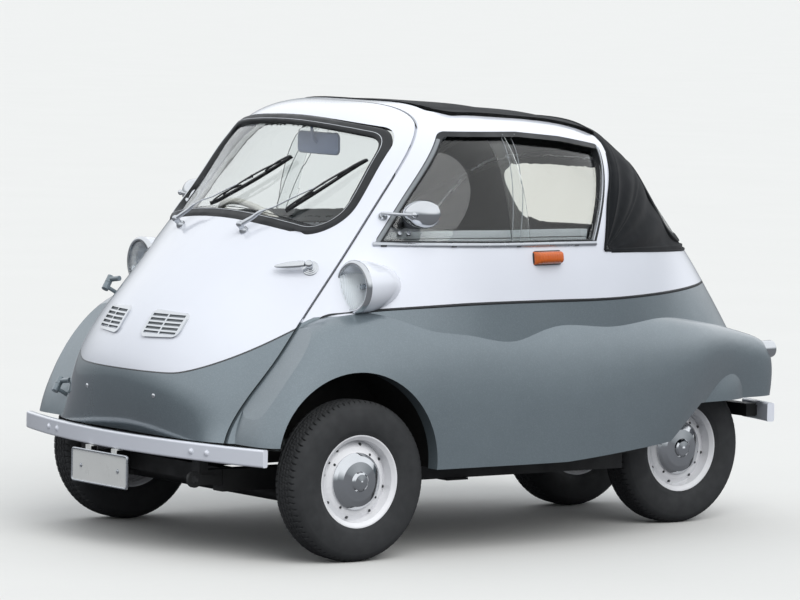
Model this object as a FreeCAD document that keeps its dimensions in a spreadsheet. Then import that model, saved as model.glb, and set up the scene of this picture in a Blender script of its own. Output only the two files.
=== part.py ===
import FreeCAD, Part
import math
import os
import re
import Sketcher
from FreeCAD import Placement, Rotation, Vector

# A two-seat bubble car with a front door, a folding top and a narrow rear track.
# Millimetres. +X is forwards, +Y is the car's left, +Z is up, the floor is z = 0.
# Everything is drawn about the middle of the wheelbase, and each finished piece is
# then shifted by mid_x, so that the origin is under the middle of the whole car.

doc = FreeCAD.newDocument("bubble_car")
sheet = doc.addObject("Spreadsheet::Sheet", "Sizes")

# ---------------------------------------------------------------- driving sizes
# (alias, value in mm or degrees, what it is)
SIZES = [
    ("mid_x", -50, "place of the middle of the wheelbase"),
    ("body_length", 2260, "nose of the door to the tips of the tail"),
    ("body_width", 1380, "over the wings"),
    ("body_height", 1335, "floor to the crown of the roof"),
    ("wall", 30, "body side, outside to trim"),
    ("door_depth", 38, "door, outside to inner panel"),
    ("seam_gap", 5.6, "shut line round the door"),
    ("pad_width", 70, "jacking pads under the rails"),
    ("wheelbase", 1500, "front to rear wheel centres"),
    ("front_track", 1200, "between front wheel centres"),
    ("rear_track", 520, "between rear wheel centres"),
    ("tyre_radius", 238, "free radius of a tyre"),
    ("tyre_width", 126, "over the sidewalls"),
    ("tread_width", 76, "flat of the tread"),
    ("bead_radius", 130, "tyre bead"),
    ("flange_radius", 143, "edge of the rim"),
    ("rim_width", 104, "over the rim flanges"),
    ("hubcap_radius", 84, "chrome cap"),
    ("hub_radius", 30, "hub boss of each wheel"),
    ("stub_radius", 13, "stub axle and rear shaft"),
    ("pin_clearance", 0.3, "radial, round pins and shafts"),
    ("arch_radius", 270, "mouth of the front arch"),
    ("housing_radius", 290, "inside of the wheel housing"),
    ("housing_inner_y", 405, "inner wall of the wheel housing"),
    ("housing_outer_y", 620, "where the housing meets the wing"),
    ("housing_wall", 8, "sheet of the wheel housing"),
    ("arch_forward", 15, "arch centre ahead of the wheel"),
    ("arch_height", 290, "arch centre above the floor"),
    ("sill_height", 265, "underside of the sill"),
    ("floor_sheet", 10, "floor pan"),
    ("rail_offset", 300, "chassis rail from the centre line"),
    ("rail_width", 50, "chassis rail"),
    ("rail_height", 66, "chassis rail"),
    ("rail_bottom", 188, "underside of the rails"),
    ("kingpin_offset", 60, "kingpin inboard of the wheel centre"),
    ("kingpin_radius", 10, "kingpin"),
    ("kingpin_height", 150, "between the fork ears"),
    ("glass", 4, "all panes"),
    ("seal_width", 22, "rubber round the windscreen"),
    ("screen_corner", 78, "corner radius of the windscreen seal"),
    ("window_corner", 14, "corner radius of the side window"),
    ("window_round", 45, "its corner under the front of the roof"),
    ("window_rail", 15, "aluminium round the side window"),
    ("hood_cloth", 5, "folding top"),
    ("lamp_radius", 80, "headlamp shell"),
    ("lamp_length", 142, "headlamp shell behind its rim"),
    ("lens_radius", 72, "headlamp glass"),
    ("mirror_radius", 53, "face of a door mirror"),
    ("mirror_depth", 34, "bowl of a door mirror"),
    ("indicator_length", 116, "side indicator"),
    ("indicator_height", 40, "side indicator"),
    ("bumper_height", 52, "front blade"),
    ("bumper_depth", 22, "front blade"),
    ("bumper_span", 1280, "front blade, end to end"),
    ("bumper_bow", 95, "how far its ends fall back"),
    ("bumper_bottom", 292, "underside of the blade"),
    ("plate_width", 300, "number plate"),
    ("plate_height", 96, "number plate"),
    ("plate_bolts", 200, "between the plate's bolts"),
    ("plate_bolt_radius", 3, "plate bolt hole"),
    ("tow_eye_radius", 12, "hole of the towing eye"),
    ("tow_eye_sheet", 10, "thickness of the towing eye"),
    ("seat_width", 1000, "bench"),
    ("seat_depth", 440, "cushion, front to back"),
    ("cushion", 110, "thickness of the cushion"),
    ("backrest", 90, "thickness of the backrest"),
    ("steering_radius", 205, "steering wheel"),
    ("steering_grip", 10, "rim of the steering wheel"),
    ("vent_height", 80, "nose vents"),
    ("vent_width", 150, "nose vents"),
    ("vent_slats", 5, "slats in each vent"),
]
for row, (alias, amount, note) in enumerate(SIZES, 1):
    sheet.set(f"A{row}", alias)
    sheet.set(f"B{row}", str(amount))
    sheet.set(f"C{row}", note)
    sheet.setAlias(f"B{row}", alias)
doc.recompute()
ALIASES = {alias for alias, _, _ in SIZES}


def size(alias):
    """The value of one cell."""
    return float(sheet.get(alias))


def ref(text):
    """An expression on the sheet: every alias in the text becomes a cell."""
    return re.sub(r"[a-z_]+", lambda m: "Sizes." + m[0] if m[0] in ALIASES else m[0], text)


# The body's tables are drawn at this size and stretched to the sheet's.
DRAWN = Vector(2260, 1380, 1335)
STRETCH = Vector(size("body_length") / DRAWN.x, size("body_width") / DRAWN.y, size("body_height") / DRAWN.z)


def at(x, y, z):
    """A place on the body, stretched with it."""
    return Vector(x * STRETCH.x, y * STRETCH.y, z * STRETCH.z)


# ---------------------------------------------------------------- making objects
NODES = []


def node(obj, name):
    """Name a finished piece and shift it into the part's frame."""
    obj.Label = name
    obj.setExpression("Placement.Base.x", "Sizes.mid_x")
    NODES.append(obj)
    return obj


def piece(name, shape):
    """A finished piece whose shape is worked out in code from the sheet."""
    obj = doc.addObject("Part::Feature", "shape_" + name)
    obj.Shape = shape
    obj.Placement = Placement(Vector(0, 0, 0), Rotation())
    return node(obj, name)


def solid(kind, name, place=Vector(0, 0, 0), turn=Rotation(), **dims):
    """A Part primitive whose dimensions are expressions on the sheet."""
    obj = doc.addObject("Part::" + kind, name)
    for prop, text in dims.items():
        obj.setExpression(prop, ref(text))
    obj.Placement = Placement(place, turn)
    return obj


def fuse(name, parts):
    """One solid from several."""
    obj = doc.addObject("Part::MultiFuse", name)
    obj.Shapes = parts
    return obj


def cut(name, base, tool):
    """Base less tool."""
    obj = doc.addObject("Part::Cut", name)
    obj.Base = base
    obj.Tool = tool
    return obj


def group(name, parts):
    """Solids that share a node and don't touch."""
    obj = doc.addObject("Part::Compound", name)
    obj.Links = parts
    return obj


ALONG_Y = Rotation(Vector(1, 0, 0), -90)
ALONG_X = Rotation(Vector(0, 1, 0), 90)


def revolve(name, corners, place=Vector(0, 0, 0), turn=Rotation(), rounds=()):
    """A PartDesign body turned about its Y axis from corners of (radius, along).

    rounds: (radius of the edge, fillet) pairs, both expressions on the sheet.
    """
    body = doc.addObject("PartDesign::Body", name)
    roles = {o.Role: o for o in body.Origin.OriginFeatures}
    sketch = body.newObject("Sketcher::SketchObject", name + "_outline")
    sketch.AttachmentSupport = (roles["XY_Plane"], [""])
    sketch.MapMode = "FlatFace"
    count = len(corners)
    turns = [math.tau * (k + 0.3) / count for k in range(count)]
    start = [Vector(100 * math.cos(turn), 100 * math.sin(turn), 0) for turn in turns]
    for k in range(count):
        sketch.addGeometry(Part.LineSegment(start[k], start[(k + 1) % count]), False)
    for k in range(count):
        sketch.addConstraint(Sketcher.Constraint("Coincident", k, 2, (k + 1) % count, 1))
    for k, (radius, along) in enumerate(corners):
        for kind, text, first in (("DistanceX", radius, start[k].x), ("DistanceY", along, start[k].y)):
            index = sketch.addConstraint(Sketcher.Constraint(kind, -1, 1, k, 1, first))
            sketch.setExpression(f"Constraints[{index}]", ref(text))
    turned = body.newObject("PartDesign::Revolution", name + "_turned")
    turned.Profile = sketch
    turned.ReferenceAxis = (roles["Y_Axis"], [""])
    turned.Angle = 360
    doc.recompute()
    if rounds:
        edges = []
        for index, edge in enumerate(turned.Shape.Edges, 1):
            curve = edge.Curve
            if isinstance(curve, Part.Circle) and any(abs(curve.Radius - r) < 0.01 for r in rounds[0]):
                edges.append(f"Edge{index}")
        fillet = body.newObject("PartDesign::Fillet", name + "_rounded")
        fillet.Base = (turned, edges)
        fillet.setExpression("Radius", ref(rounds[1]))
    body.Placement = Placement(place, turn)
    return body


def mirrored(shape):
    """The same shape on the other side of the car."""
    return shape.mirror(Vector(0, 0, 0), Vector(0, 1, 0))


def box(low, high):
    """A plain block between two corners."""
    return Part.makeBox(high.x - low.x, high.y - low.y, high.z - low.z, low)


def prism(points, along, start, end, corner=0.0):
    """A prism on a closed outline of (u, v) points.

    along "y": the outline lies in X, Z; along "x": in Y, Z; along "z": in X, Y.
    corner: fillet on the prism's long edges, one for all or a list with one for each point.
    """
    place = {"y": lambda u, v, w: Vector(u, w, v), "x": lambda u, v, w: Vector(w, u, v),
             "z": lambda u, v, w: Vector(u, v, w)}[along]
    wire = Part.makePolygon([place(u, v, start) for u, v in points + points[:1]])
    body = Part.Face(wire).extrude(place(0, 0, end - start))
    radii = corner if isinstance(corner, list) else [corner] * len(points)
    for radius in sorted(set(radii) - {0.0}):
        feet = [place(u, v, start) for (u, v), r in zip(points, radii) if r == radius]
        heads = [place(u, v, end) for (u, v), r in zip(points, radii) if r == radius]
        body = body.makeFillet(radius, [e for e in body.Edges if joins(e, feet, heads)])
    return body


def joins(edge, feet, heads):
    """Whether a straight edge runs from one of the feet to one of the heads."""
    ends = [edge.Vertexes[0].Point, edge.Vertexes[-1].Point]
    met = [min(spot.distanceToPoint(end) for spot in spots for end in ends) for spots in (feet, heads)]
    return max(met) < 0.01


# ---------------------------------------------------------------- the body's forms
# Both forms are fans of hoops: each hoop stands on the base plane at base_x, leans to
# its crown at (top_x, top_z), and is a superellipse of that fullness across.
FORM_BASE = 240
# base_x, top_x, top_z, centre_y, half_width, fullness
EGG = [
    (800, 1137, FORM_BASE, 0, 595, 3.3),
    (745, 1162, 406, 0, 597, 2.65),
    (715, 1169, 550, 0, 622, 2.15),
    (740, 1104, 681, 0, 660, 2.0),
    (678, 955, 845, 0, 680, 2.1),
    (496, 788, 995, 0, 676, 2.6),
    (342, 645, 1144, 0, 674, 2.9),
    (208, 554, 1275, 0, 672, 2.9),
    (87, 364, 1328, 0, 664, 3.9),
    (-38, 78, 1320, 0, 640, 4.3),
    (-178, -223, 1290, 0, 620, 4.2),
    (-295, -460, 1237, 0, 590, 3.1),
    (-416, -642, 1094, 0, 560, 2.5),
    (-522, -784, 927, 0, 535, 2.5),
    (-627, -895, 764, 0, 510, 2.6),
    (-706, -986, 593, 0, 484, 2.8),
    (-748, -1015, 423, 0, 452, 2.8),
    (-770, -1016, FORM_BASE, 0, 430, 2.7),
]
WING = [
    (800, 1062, FORM_BASE, 520, 160, 3.5),
    (770, 1070, 350, 520, 162, 3.5),
    (720, 1030, 470, 520, 165, 3.4),
    (640, 960, 590, 520, 168, 3.2),
    (540, 850, 690, 520, 170, 3.0),
    (400, 660, 738, 520, 170, 3.0),
    (200, 330, 748, 520, 170, 3.2),
    (-50, -50, 735, 505, 175, 3.2),
    (-300, -400, 700, 470, 165, 3.2),
    (-500, -720, 650, 410, 150, 3.0),
    (-640, -960, 600, 350, 110, 2.8),
    (-740, -1070, 540, 330, 90, 2.8),
    (-800, -1085, 420, 320, 85, 2.8),
    (-830, -1080, FORM_BASE, 310, 80, 2.8),
]
HOOP_POINTS = 27        # along each hoop
HOOP_FINE = 160         # steps used to space them evenly


def hoop(row):
    """Evenly spaced points along one hoop."""
    base_x, top_x, top_z, centre_y, half_width, fullness = row
    raw = []
    for k in range(HOOP_FINE + 1):
        turn = math.pi * k / HOOP_FINE
        across = math.copysign(abs(math.cos(turn)) ** (2 / fullness), math.cos(turn))
        rise = math.sin(turn) ** (2 / fullness) if 0 < k < HOOP_FINE else 0.0
        raw.append(at(base_x + (top_x - base_x) * rise, centre_y + half_width * across,
                      FORM_BASE + (top_z - FORM_BASE) * rise))
    walked = [0.0]
    for a, b in zip(raw, raw[1:]):
        walked.append(walked[-1] + a.distanceToPoint(b))
    points = []
    k = 0
    for n in range(HOOP_POINTS):
        want = walked[-1] * n / (HOOP_POINTS - 1)
        while k < HOOP_FINE - 1 and walked[k + 1] < want:
            k += 1
        share = (want - walked[k]) / (walked[k + 1] - walked[k])
        points.append(raw[k] + (raw[k + 1] - raw[k]) * share)
    return points


def form(table, grow=0.0):
    """The closed form of a table's hoops, its skin moved out by grow (in if negative)."""
    rows = [hoop(row) for row in table]
    last, end = len(rows) - 1, HOOP_POINTS - 1
    moved = []
    for i, points in enumerate(rows):
        line = []
        for j, point in enumerate(points):
            ahead = rows[min(i + 1, last)][j] - rows[max(i - 1, 0)][j]
            across = points[min(j + 1, end)] - points[max(j - 1, 0)]
            out = ahead.cross(across)
            out.normalize()
            spot = point + out * grow
            if i in (0, last) or j in (0, end):
                spot.z = FORM_BASE * STRETCH.z - (5 if grow < 0 else 0)
            line.append(spot)
        moved.append(line)
    skin = Part.BSplineSurface()
    skin.interpolate(moved)
    face = skin.toShape()
    rim = Part.Face(Part.Wire(Part.__sortEdges__(face.Edges)))
    body = Part.Solid(Part.Shell([face, rim]))
    if body.Volume < 0:
        body.reverse()
    return body


egg = form(EGG)
left_wing_form = form(WING)
right_wing_form = mirrored(left_wing_form)
outer = egg.fuse(left_wing_form).fuse(right_wing_form)
inner = form(EGG, -size("wall"))

# ---------------------------------------------------------------- cutting lines of the body
FAR = 1600
front_x = size("wheelbase") / 2
rear_x = -front_x
arch_x = front_x + size("arch_forward")
arch_z = size("arch_height")


def beyond(points, scale=STRETCH):
    """Side-view points (x, z) stretched with the body."""
    return [(x * scale.x, z * scale.z) for x, z in points]


# Door seam in side view: straight down from the roof, round a bend to a straight run
# down the flank, and round a longer bend to the foot of the wing.
ROOF_BEND = beyond([(386, 1335), (380.5, 1300), (394, 1268)])
FOOT_BEND = beyond([(957, 572), (1030, 466), (1085, 348)])


def door_region(shift):
    """All that lies ahead of the door's seam, moved along by shift."""
    head, bend, flank = [Vector(x + shift, -FAR, z) for x, z in ROOF_BEND]
    knee, curl, foot = [Vector(x + shift, -FAR, z) for x, z in FOOT_BEND]
    end = foot + (foot - curl)
    top = Vector(head.x, -FAR, FAR)
    corners = [flank, knee], [foot, end], [end, Vector(FAR, -FAR, end.z), Vector(FAR, -FAR, FAR), top, head]
    edges = [Part.LineSegment(a, b).toShape() for run in corners for a, b in zip(run, run[1:])]
    edges += [Part.Arc(head, bend, flank).toShape(), Part.Arc(knee, curl, foot).toShape()]
    return Part.Face(Part.Wire(Part.__sortEdges__(edges))).extrude(Vector(0, 2 * FAR, 0))


flank_lean = math.atan2(FOOT_BEND[0][0] - ROOF_BEND[2][0], ROOF_BEND[2][1] - FOOT_BEND[0][1])
seam_shift = size("seam_gap") / 2 / math.cos(flank_lean)
ahead_of_seam = door_region(seam_shift)
behind_seam = door_region(-seam_shift)

# The underside: nose, sill, rear arch and tail, in side view.
NOSE_Z, TAIL_Z = 346 * STRETCH.z, 392 * STRETCH.z
under_line = [(FAR, 0), (FAR, NOSE_Z), (arch_x, NOSE_Z), (arch_x, size("sill_height")),
              (0, size("sill_height"))] + beyond([(-480, 297), (-650, 403)]) + [(-FAR, TAIL_Z), (-FAR, 0)]
underside = prism(under_line, "y", -FAR, FAR)

# Windscreen, from the front: half width and height of its corners, and the height of
# the bowed edge between them.
SCREEN_LOW, SCREEN_LOW_MIDDLE = (445, 931), 983
SCREEN_TOP, SCREEN_TOP_MIDDLE = (418, 1252), 1285
# Side window, from the side; the corner under the roof's front is the round one.
WINDOW = [(628, 918), (352, 1252), (60, 1249), (-110, 1234), (-283, 1206), (-150, 911)]
WINDOW_ROUND = 1
# The folding top: its edge on the roof from above, and its edge behind the door pillar.
ROOF_CLOTH = [(318, 352), (262, 408), (0, 382), (-170, 376), (-420, 376)]
HOOD_EDGE = [(-187, 893), (-222, 1038), (-300, 1169), (-330, 1235), (-330, 1500), (-1500, 1500), (-1500, 866),
             (-700, 868)]
BEAD = [(1200, 600), (900, 672), (823, 711), (622, 736), (253, 749), (-144, 746), (-560, 752), (-1200, 800)]


def inset(points, by):
    """A convex outline of (u, v) points moved inwards by a distance."""
    count = len(points)
    area = sum(points[k][0] * points[(k + 1) % count][1] - points[(k + 1) % count][0] * points[k][1]
               for k in range(count))
    side = 1 if area > 0 else -1
    lines = []
    for k in range(count):
        (ax, ay), (bx, by_) = points[k], points[(k + 1) % count]
        run = math.hypot(bx - ax, by_ - ay)
        nx, ny = -side * (by_ - ay) / run, side * (bx - ax) / run
        lines.append((nx, ny, nx * ax + ny * ay + by))
    moved = []
    for k in range(count):
        (a1, b1, c1), (a2, b2, c2) = lines[k - 1], lines[k]
        det = a1 * b2 - a2 * b1
        moved.append(((c1 * b2 - c2 * b1) / det, (a1 * c2 - a2 * c1) / det))
    return moved


def screen_prism(by):
    """The windscreen's outline moved inwards, run through the front."""
    spots = {}
    for name, (half, height), middle, way in (("low", SCREEN_LOW, SCREEN_LOW_MIDDLE, 1),
                                              ("top", SCREEN_TOP, SCREEN_TOP_MIDDLE, -1)):
        half = half * STRETCH.y - by
        height = height * STRETCH.z + way * by
        spots[name] = (Vector(300, -half, height), Vector(300, 0, middle * STRETCH.z + way * by),
                       Vector(300, half, height))
    low, top = spots["low"], spots["top"]
    outline = [Part.Arc(*low).toShape(), Part.LineSegment(low[2], top[2]).toShape(),
               Part.Arc(*reversed(top)).toShape(), Part.LineSegment(top[0], low[0]).toShape()]
    body = Part.Face(Part.Wire(outline)).extrude(Vector(FAR - 300, 0, 0))
    corners = [low[0], low[2], top[0], top[2]]
    far_corners = [spot + Vector(FAR - 300, 0, 0) for spot in corners]
    rounded = [edge for edge in body.Edges if joins(edge, corners, far_corners)]
    return body.makeFillet(size("screen_corner") - by, rounded)


def window_prism(by, sign):
    """A side window's outline moved inwards, run through one side."""
    outline = beyond(WINDOW)
    radii = [max(size("window_corner") - by, 3.0)] * len(WINDOW)
    radii[WINDOW_ROUND] = size("window_round") - by
    return prism(inset(outline, by) if by else outline, "y", *sorted((200 * sign, FAR * sign)), corner=radii)


# ---------------------------------------------------------------- body shell
def wheel_axis_cylinder(radius, low_y, high_y, x, z):
    """A cylinder along the axle's direction."""
    return Part.makeCylinder(radius, high_y - low_y, Vector(x, low_y, z), Vector(0, 1, 0))


housing_outside = size("housing_radius") + size("housing_wall")
shell = outer.cut(inner).cut(underside)
for sign in (1, -1):
    mouth = wheel_axis_cylinder(size("arch_radius"), *sorted((sign * 600, sign * FAR)), arch_x, arch_z)
    wall_in = size("housing_inner_y") - size("housing_wall")
    low, high = sorted((sign * wall_in, sign * size("housing_outer_y")))
    shell = shell.cut(mouth.fuse(wheel_axis_cylinder(housing_outside, low, high, arch_x, arch_z)))

body_shell = shell.cut(behind_seam)
roof_edge = [(x * STRETCH.x, y * STRETCH.y) for x, y in ROOF_CLOTH]
roof_edge += [(x, -y) for x, y in reversed(roof_edge)]
roof_hole = prism(roof_edge, "z", 1150 * STRETCH.z, FAR, corner=[28.0, 28.0] + [0.0] * 6 + [28.0, 28.0])
hood_back = prism(beyond(HOOD_EDGE), "y", -FAR, FAR)
hood_region = roof_hole.fuse(hood_back)
painted = body_shell.cut(hood_region)
for sign in (1, -1):
    painted = painted.cut(window_prism(0, sign))

bead_side = beyond(BEAD)
above_bead = prism([(bead_side[0][0], FAR)] + bead_side + [(bead_side[-1][0], FAR)], "y", -FAR, FAR)
upper = painted.common(above_bead)
lower = painted.cut(above_bead)
header_zone = box(at(200, -300, 1150), at(700, 300, 1500))
deck_zone = box(Vector(-FAR, -250 * STRETCH.y, 600), Vector(-600 * STRETCH.x, 250 * STRETCH.y, 1000))
tail_zone = box(Vector(-FAR, -200 * STRETCH.y, 200), Vector(-800 * STRETCH.x, 200 * STRETCH.y, 1000))
left_half = box(Vector(-FAR, 0, 0), Vector(FAR, FAR, FAR))
right_half = box(Vector(-FAR, -FAR, 0), Vector(FAR, 0, FAR))
piece("roof_header", upper.common(header_zone))
piece("rear_deck", upper.common(deck_zone))
piece("tail_panel", lower.common(tail_zone))
sides_upper = upper.cut(header_zone).cut(deck_zone)
sides_lower = lower.cut(tail_zone)
for label, half in (("left", left_half), ("right", right_half)):
    piece(label + "_upper_side", sides_upper.common(half))
    piece(label + "_wing", sides_lower.common(half))

# Folding top and its window.
hood_shell = body_shell.common(hood_region).cut(form(EGG, -size("hood_cloth")))
REAR_WINDOW = [(-381, 904), (381, 904), (372, 1128), (-372, 1128)]
rear_window_hole = prism([(y * STRETCH.y, z * STRETCH.z) for y, z in REAR_WINDOW], "x", -FAR, -300,
                         corner=[45.0, 45.0, 95.0, 95.0])
piece("soft_top", hood_shell.cut(rear_window_hole))
piece("rear_window", hood_shell.common(rear_window_hole))

# ---------------------------------------------------------------- glass
depth_cache = {}


def skin_between(outside, inside):
    """The layer of the egg between two depths below its surface."""
    for grow in (outside, inside):
        if grow not in depth_cache:
            depth_cache[grow] = form(EGG, grow)
    return depth_cache[outside].cut(depth_cache[inside])


SEAL_PROUD, SEAL_DEPTH, SEAL_FROM_SEAM, SEAL_FIT = 5.0, 22.0, 12.0, 0.2
SCREEN_SINK = 8.0
windscreen_layer = skin_between(-SCREEN_SINK, -SCREEN_SINK - size("glass"))
piece("windscreen", windscreen_layer.common(screen_prism(size("seal_width"))))
seal_ring = screen_prism(SEAL_FIT).cut(screen_prism(size("seal_width")))
seal_layer = skin_between(SEAL_PROUD, -SEAL_DEPTH).common(door_region(seam_shift + SEAL_FROM_SEAM))
piece("windscreen_seal", seal_layer.common(seal_ring))

panes = []
rails = []
LAP_BACK, LAP_FRONT = 110 * STRETCH.x, 180 * STRETCH.x
FRONT_PANE_SINK, REAR_PANE_SINK, RAIL_DEPTH = 9.0, 17.0, 26.0
rail_ring_layer = skin_between(0.0, -RAIL_DEPTH)
for sign in (1, -1):
    mouth = window_prism(size("window_rail"), sign)
    front_part = mouth.common(box(Vector(LAP_BACK, -FAR, 0), Vector(FAR, FAR, FAR)))
    rear_part = mouth.common(box(Vector(-FAR, -FAR, 0), Vector(LAP_FRONT, FAR, FAR)))
    for sink, part in ((FRONT_PANE_SINK, front_part), (REAR_PANE_SINK, rear_part)):
        panes.append(skin_between(-sink, -sink - size("glass")).common(part))
    rails.append(rail_ring_layer.common(window_prism(0, sign).cut(mouth)))
piece("side_glass", Part.makeCompound(panes))
piece("window_rails", Part.makeCompound(rails))

# ---------------------------------------------------------------- door
door_inner = form(EGG, -size("door_depth"))
door_skin = egg.cut(door_inner).cut(underside).common(ahead_of_seam).cut(screen_prism(0))
piece("door_shell", door_skin)

# ---------------------------------------------------------------- places on the body
def on_front(y, z, sink=0.0):
    """The point of the egg's nose at y, z, sink below its surface."""
    ray = Part.makeLine(Vector(0, y, z), Vector(FAR, y, z))
    return max(v.Point.x for v in ray.common(egg).Vertexes) - sink


def on_side(x, z, sign, sink=0.0):
    """The y of the body's side at x, z, sink below its surface."""
    ray = Part.makeLine(Vector(x, 0, z), Vector(x, sign * FAR, z))
    return sign * (max(abs(v.Point.y) for v in ray.common(outer).Vertexes) - sink)


# ---------------------------------------------------------------- nose vents and handle
def layer_in(grow_out, grow_in, region):
    """A patch of skin between two depths, inside a region."""
    return skin_between(grow_out, grow_in).common(region)


VENT_Y, VENT_Z = 136 * STRETCH.y, 672 * STRETCH.z
vents = []
for sign in (1, -1):
    half_w, half_h = size("vent_width") / 2, size("vent_height") / 2
    y_in, y_out = VENT_Y - half_w, VENT_Y + half_w
    outline = [(sign * y_in, VENT_Z - half_h), (sign * y_out, VENT_Z - half_h + 6),
               (sign * (y_out - 4), VENT_Z + half_h - 6), (sign * y_in, VENT_Z + half_h)]
    plate = prism(outline, "x", 700, FAR, corner=20)
    pitch = (size("vent_height") - 18) / size("vent_slats")
    slots = []
    for k in range(int(size("vent_slats"))):
        low = VENT_Z - half_h + 9 + pitch * k + 2.5
        for start, stop in ((y_in + 10, VENT_Y - 3), (VENT_Y + 3, y_out - 12)):
            a, b = sorted((sign * start, sign * stop))
            slots.append(box(Vector(700, a, low), Vector(FAR, b, low + pitch - 5)))
    patch = layer_in(6.0, -0.1, plate).cut(egg)
    vents.append(patch.cut(slots[0].multiFuse(slots[1:])))
piece("door_vents", Part.makeCompound(vents))

HANDLE_Y, HANDLE_Z = 434 * STRETCH.y, 849 * STRETCH.z
LEVER_Y, LEVER_Z = 357 * STRETCH.y, 840 * STRETCH.z
handle_x = on_front(HANDLE_Y, HANDLE_Z)
escutcheon = solid("Cylinder", "handle_escutcheon", Vector(handle_x - 6, HANDLE_Y, HANDLE_Z),
                   Rotation(Vector(0, 0, 1), Vector(0.80, 0.35, 0.48)), Radius="22", Height="18")


def front_normal(y, z):
    """The outward direction of the nose at y, z."""
    step = 15
    dx_dy = (on_front(y + step, z) - on_front(y - step, z)) / (2 * step)
    dx_dz = (on_front(y, z + step) - on_front(y, z - step)) / (2 * step)
    out = Vector(1, -dx_dy, -dx_dz)
    out.normalize()
    return out


def rod(name, start, stop, radius):
    """A round rod between two places, its radius an expression on the sheet."""
    way = stop - start
    bar = solid("Cylinder", name, start, Rotation(Vector(0, 0, 1), way), Radius=radius)
    bar.Height = way.Length
    return bar


def ball(name, place, radius):
    """A ball, its radius an expression on the sheet."""
    return solid("Sphere", name, place, Radius=radius)


handle_out = front_normal(HANDLE_Y, HANDLE_Z)
handle_foot = Vector(handle_x, HANDLE_Y, HANDLE_Z)
escutcheon.Placement = Placement(handle_foot - handle_out * 4, Rotation(Vector(0, 0, 1), handle_out))
lever_in = Vector(on_front(LEVER_Y, LEVER_Z), LEVER_Y, LEVER_Z) + handle_out * 20
handle_all = fuse("handle_raw", [
    escutcheon, rod("handle_stem", handle_foot, handle_foot + handle_out * 26, "9"),
    rod("handle_lever", handle_foot + handle_out * 24, lever_in, "7"), ball("handle_tip", lever_in, "8"),
    ball("handle_root", handle_foot + handle_out * 24, "11")])
door_block = doc.addObject("Part::Feature", "door_block")
door_block.Shape = door_skin
node(cut("handle_all", handle_all, door_block), "door_handle")

# Wipers: pivot, arm and blade, two alike.
WIPERS = [
    # pivot y, pivot z, blade start y, z, blade end y, z
    (-188, 941, -100, 1000, 121, 1158),
    (154, 944, 248, 995, 392, 1160),
]
wiper_parts = []
for number, (py, pz, ay, az, by, bz) in enumerate(WIPERS):
    spots = [Vector(on_front(y * STRETCH.y, z * STRETCH.z), y * STRETCH.y, z * STRETCH.z)
             for y, z in ((py, pz), (ay, az), (by, bz))]
    outs = [front_normal(spot.y, spot.z) for spot in spots]
    lift = 16
    pivot, near, far = (spot + out * lift for spot, out in zip(spots, outs))
    middle = near + (far - near) * 0.5
    wiper_parts.append(fuse(f"wiper_{number}", [
        rod(f"wiper_{number}_pivot", spots[0] + outs[0] * 0.1, pivot + outs[0] * 8, "9"),
        rod(f"wiper_{number}_arm", pivot, middle, "3.5"),
        rod(f"wiper_{number}_blade", near, far, "4.5")]))
node(group("wiper_set", wiper_parts), "wipers")

# ---------------------------------------------------------------- steering on the door
STEER_TILT = 46
COLUMN_LENGTH = 560
BOSS_BELOW, HUB_GAP = 28, 0.4
steer_axis = Vector(-math.cos(math.radians(STEER_TILT)), 0, math.sin(math.radians(STEER_TILT)))
steer_centre = at(515, -140, 870)
column_foot = steer_centre - steer_axis * COLUMN_LENGTH
wheel_turn = Rotation(Vector(0, 0, 1), steer_axis)
grip = solid("Torus", "steering_grip", steer_centre, wheel_turn,
             Radius1="steering_radius", Radius2="steering_grip")
boss = solid("Cylinder", "steering_boss", steer_centre - steer_axis * BOSS_BELOW, wheel_turn,
             Radius="32", Height="40")
spokes = []
for number, angle in enumerate((90, 210, 330)):
    out = wheel_turn.multVec(Vector(math.cos(math.radians(angle)), math.sin(math.radians(angle)), 0))
    spokes.append(rod(f"steering_spoke_{number}", steer_centre - steer_axis * 10,
                      steer_centre + out * size("steering_radius"), "6.5"))
node(fuse("steering_all", [grip, boss] + spokes), "steering_wheel")


def to_door(spot, rise):
    """The inside of the door ahead of a place and a little above it."""
    return Vector(on_front(spot.y, spot.z + rise, size("door_depth") - 2), spot.y, spot.z + rise)


strut_root = column_foot + steer_axis * 250
lower_root = column_foot + steer_axis * 60
dial_place = steer_centre - steer_axis * 120 + Vector(40, 0, 55)
column_all = fuse("column_all", [
    rod("column_tube", column_foot, steer_centre - steer_axis * (BOSS_BELOW + HUB_GAP), "19"),
    rod("column_strut", strut_root, to_door(strut_root, 40), "15"),
    rod("column_lower_strut", lower_root, to_door(lower_root, 20), "12"),
    solid("Cylinder", "dial_case", dial_place, wheel_turn, Radius="52", Height="60"),
    rod("dial_stalk", dial_place, dial_place - Vector(45, 0, 62), "14")])
door_lining = doc.addObject("Part::Feature", "door_lining")
door_lining.Shape = skin_between(0.0, -size("door_depth") - 0.3)
node(cut("column_cut", column_all, door_lining), "steering_column")

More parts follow.
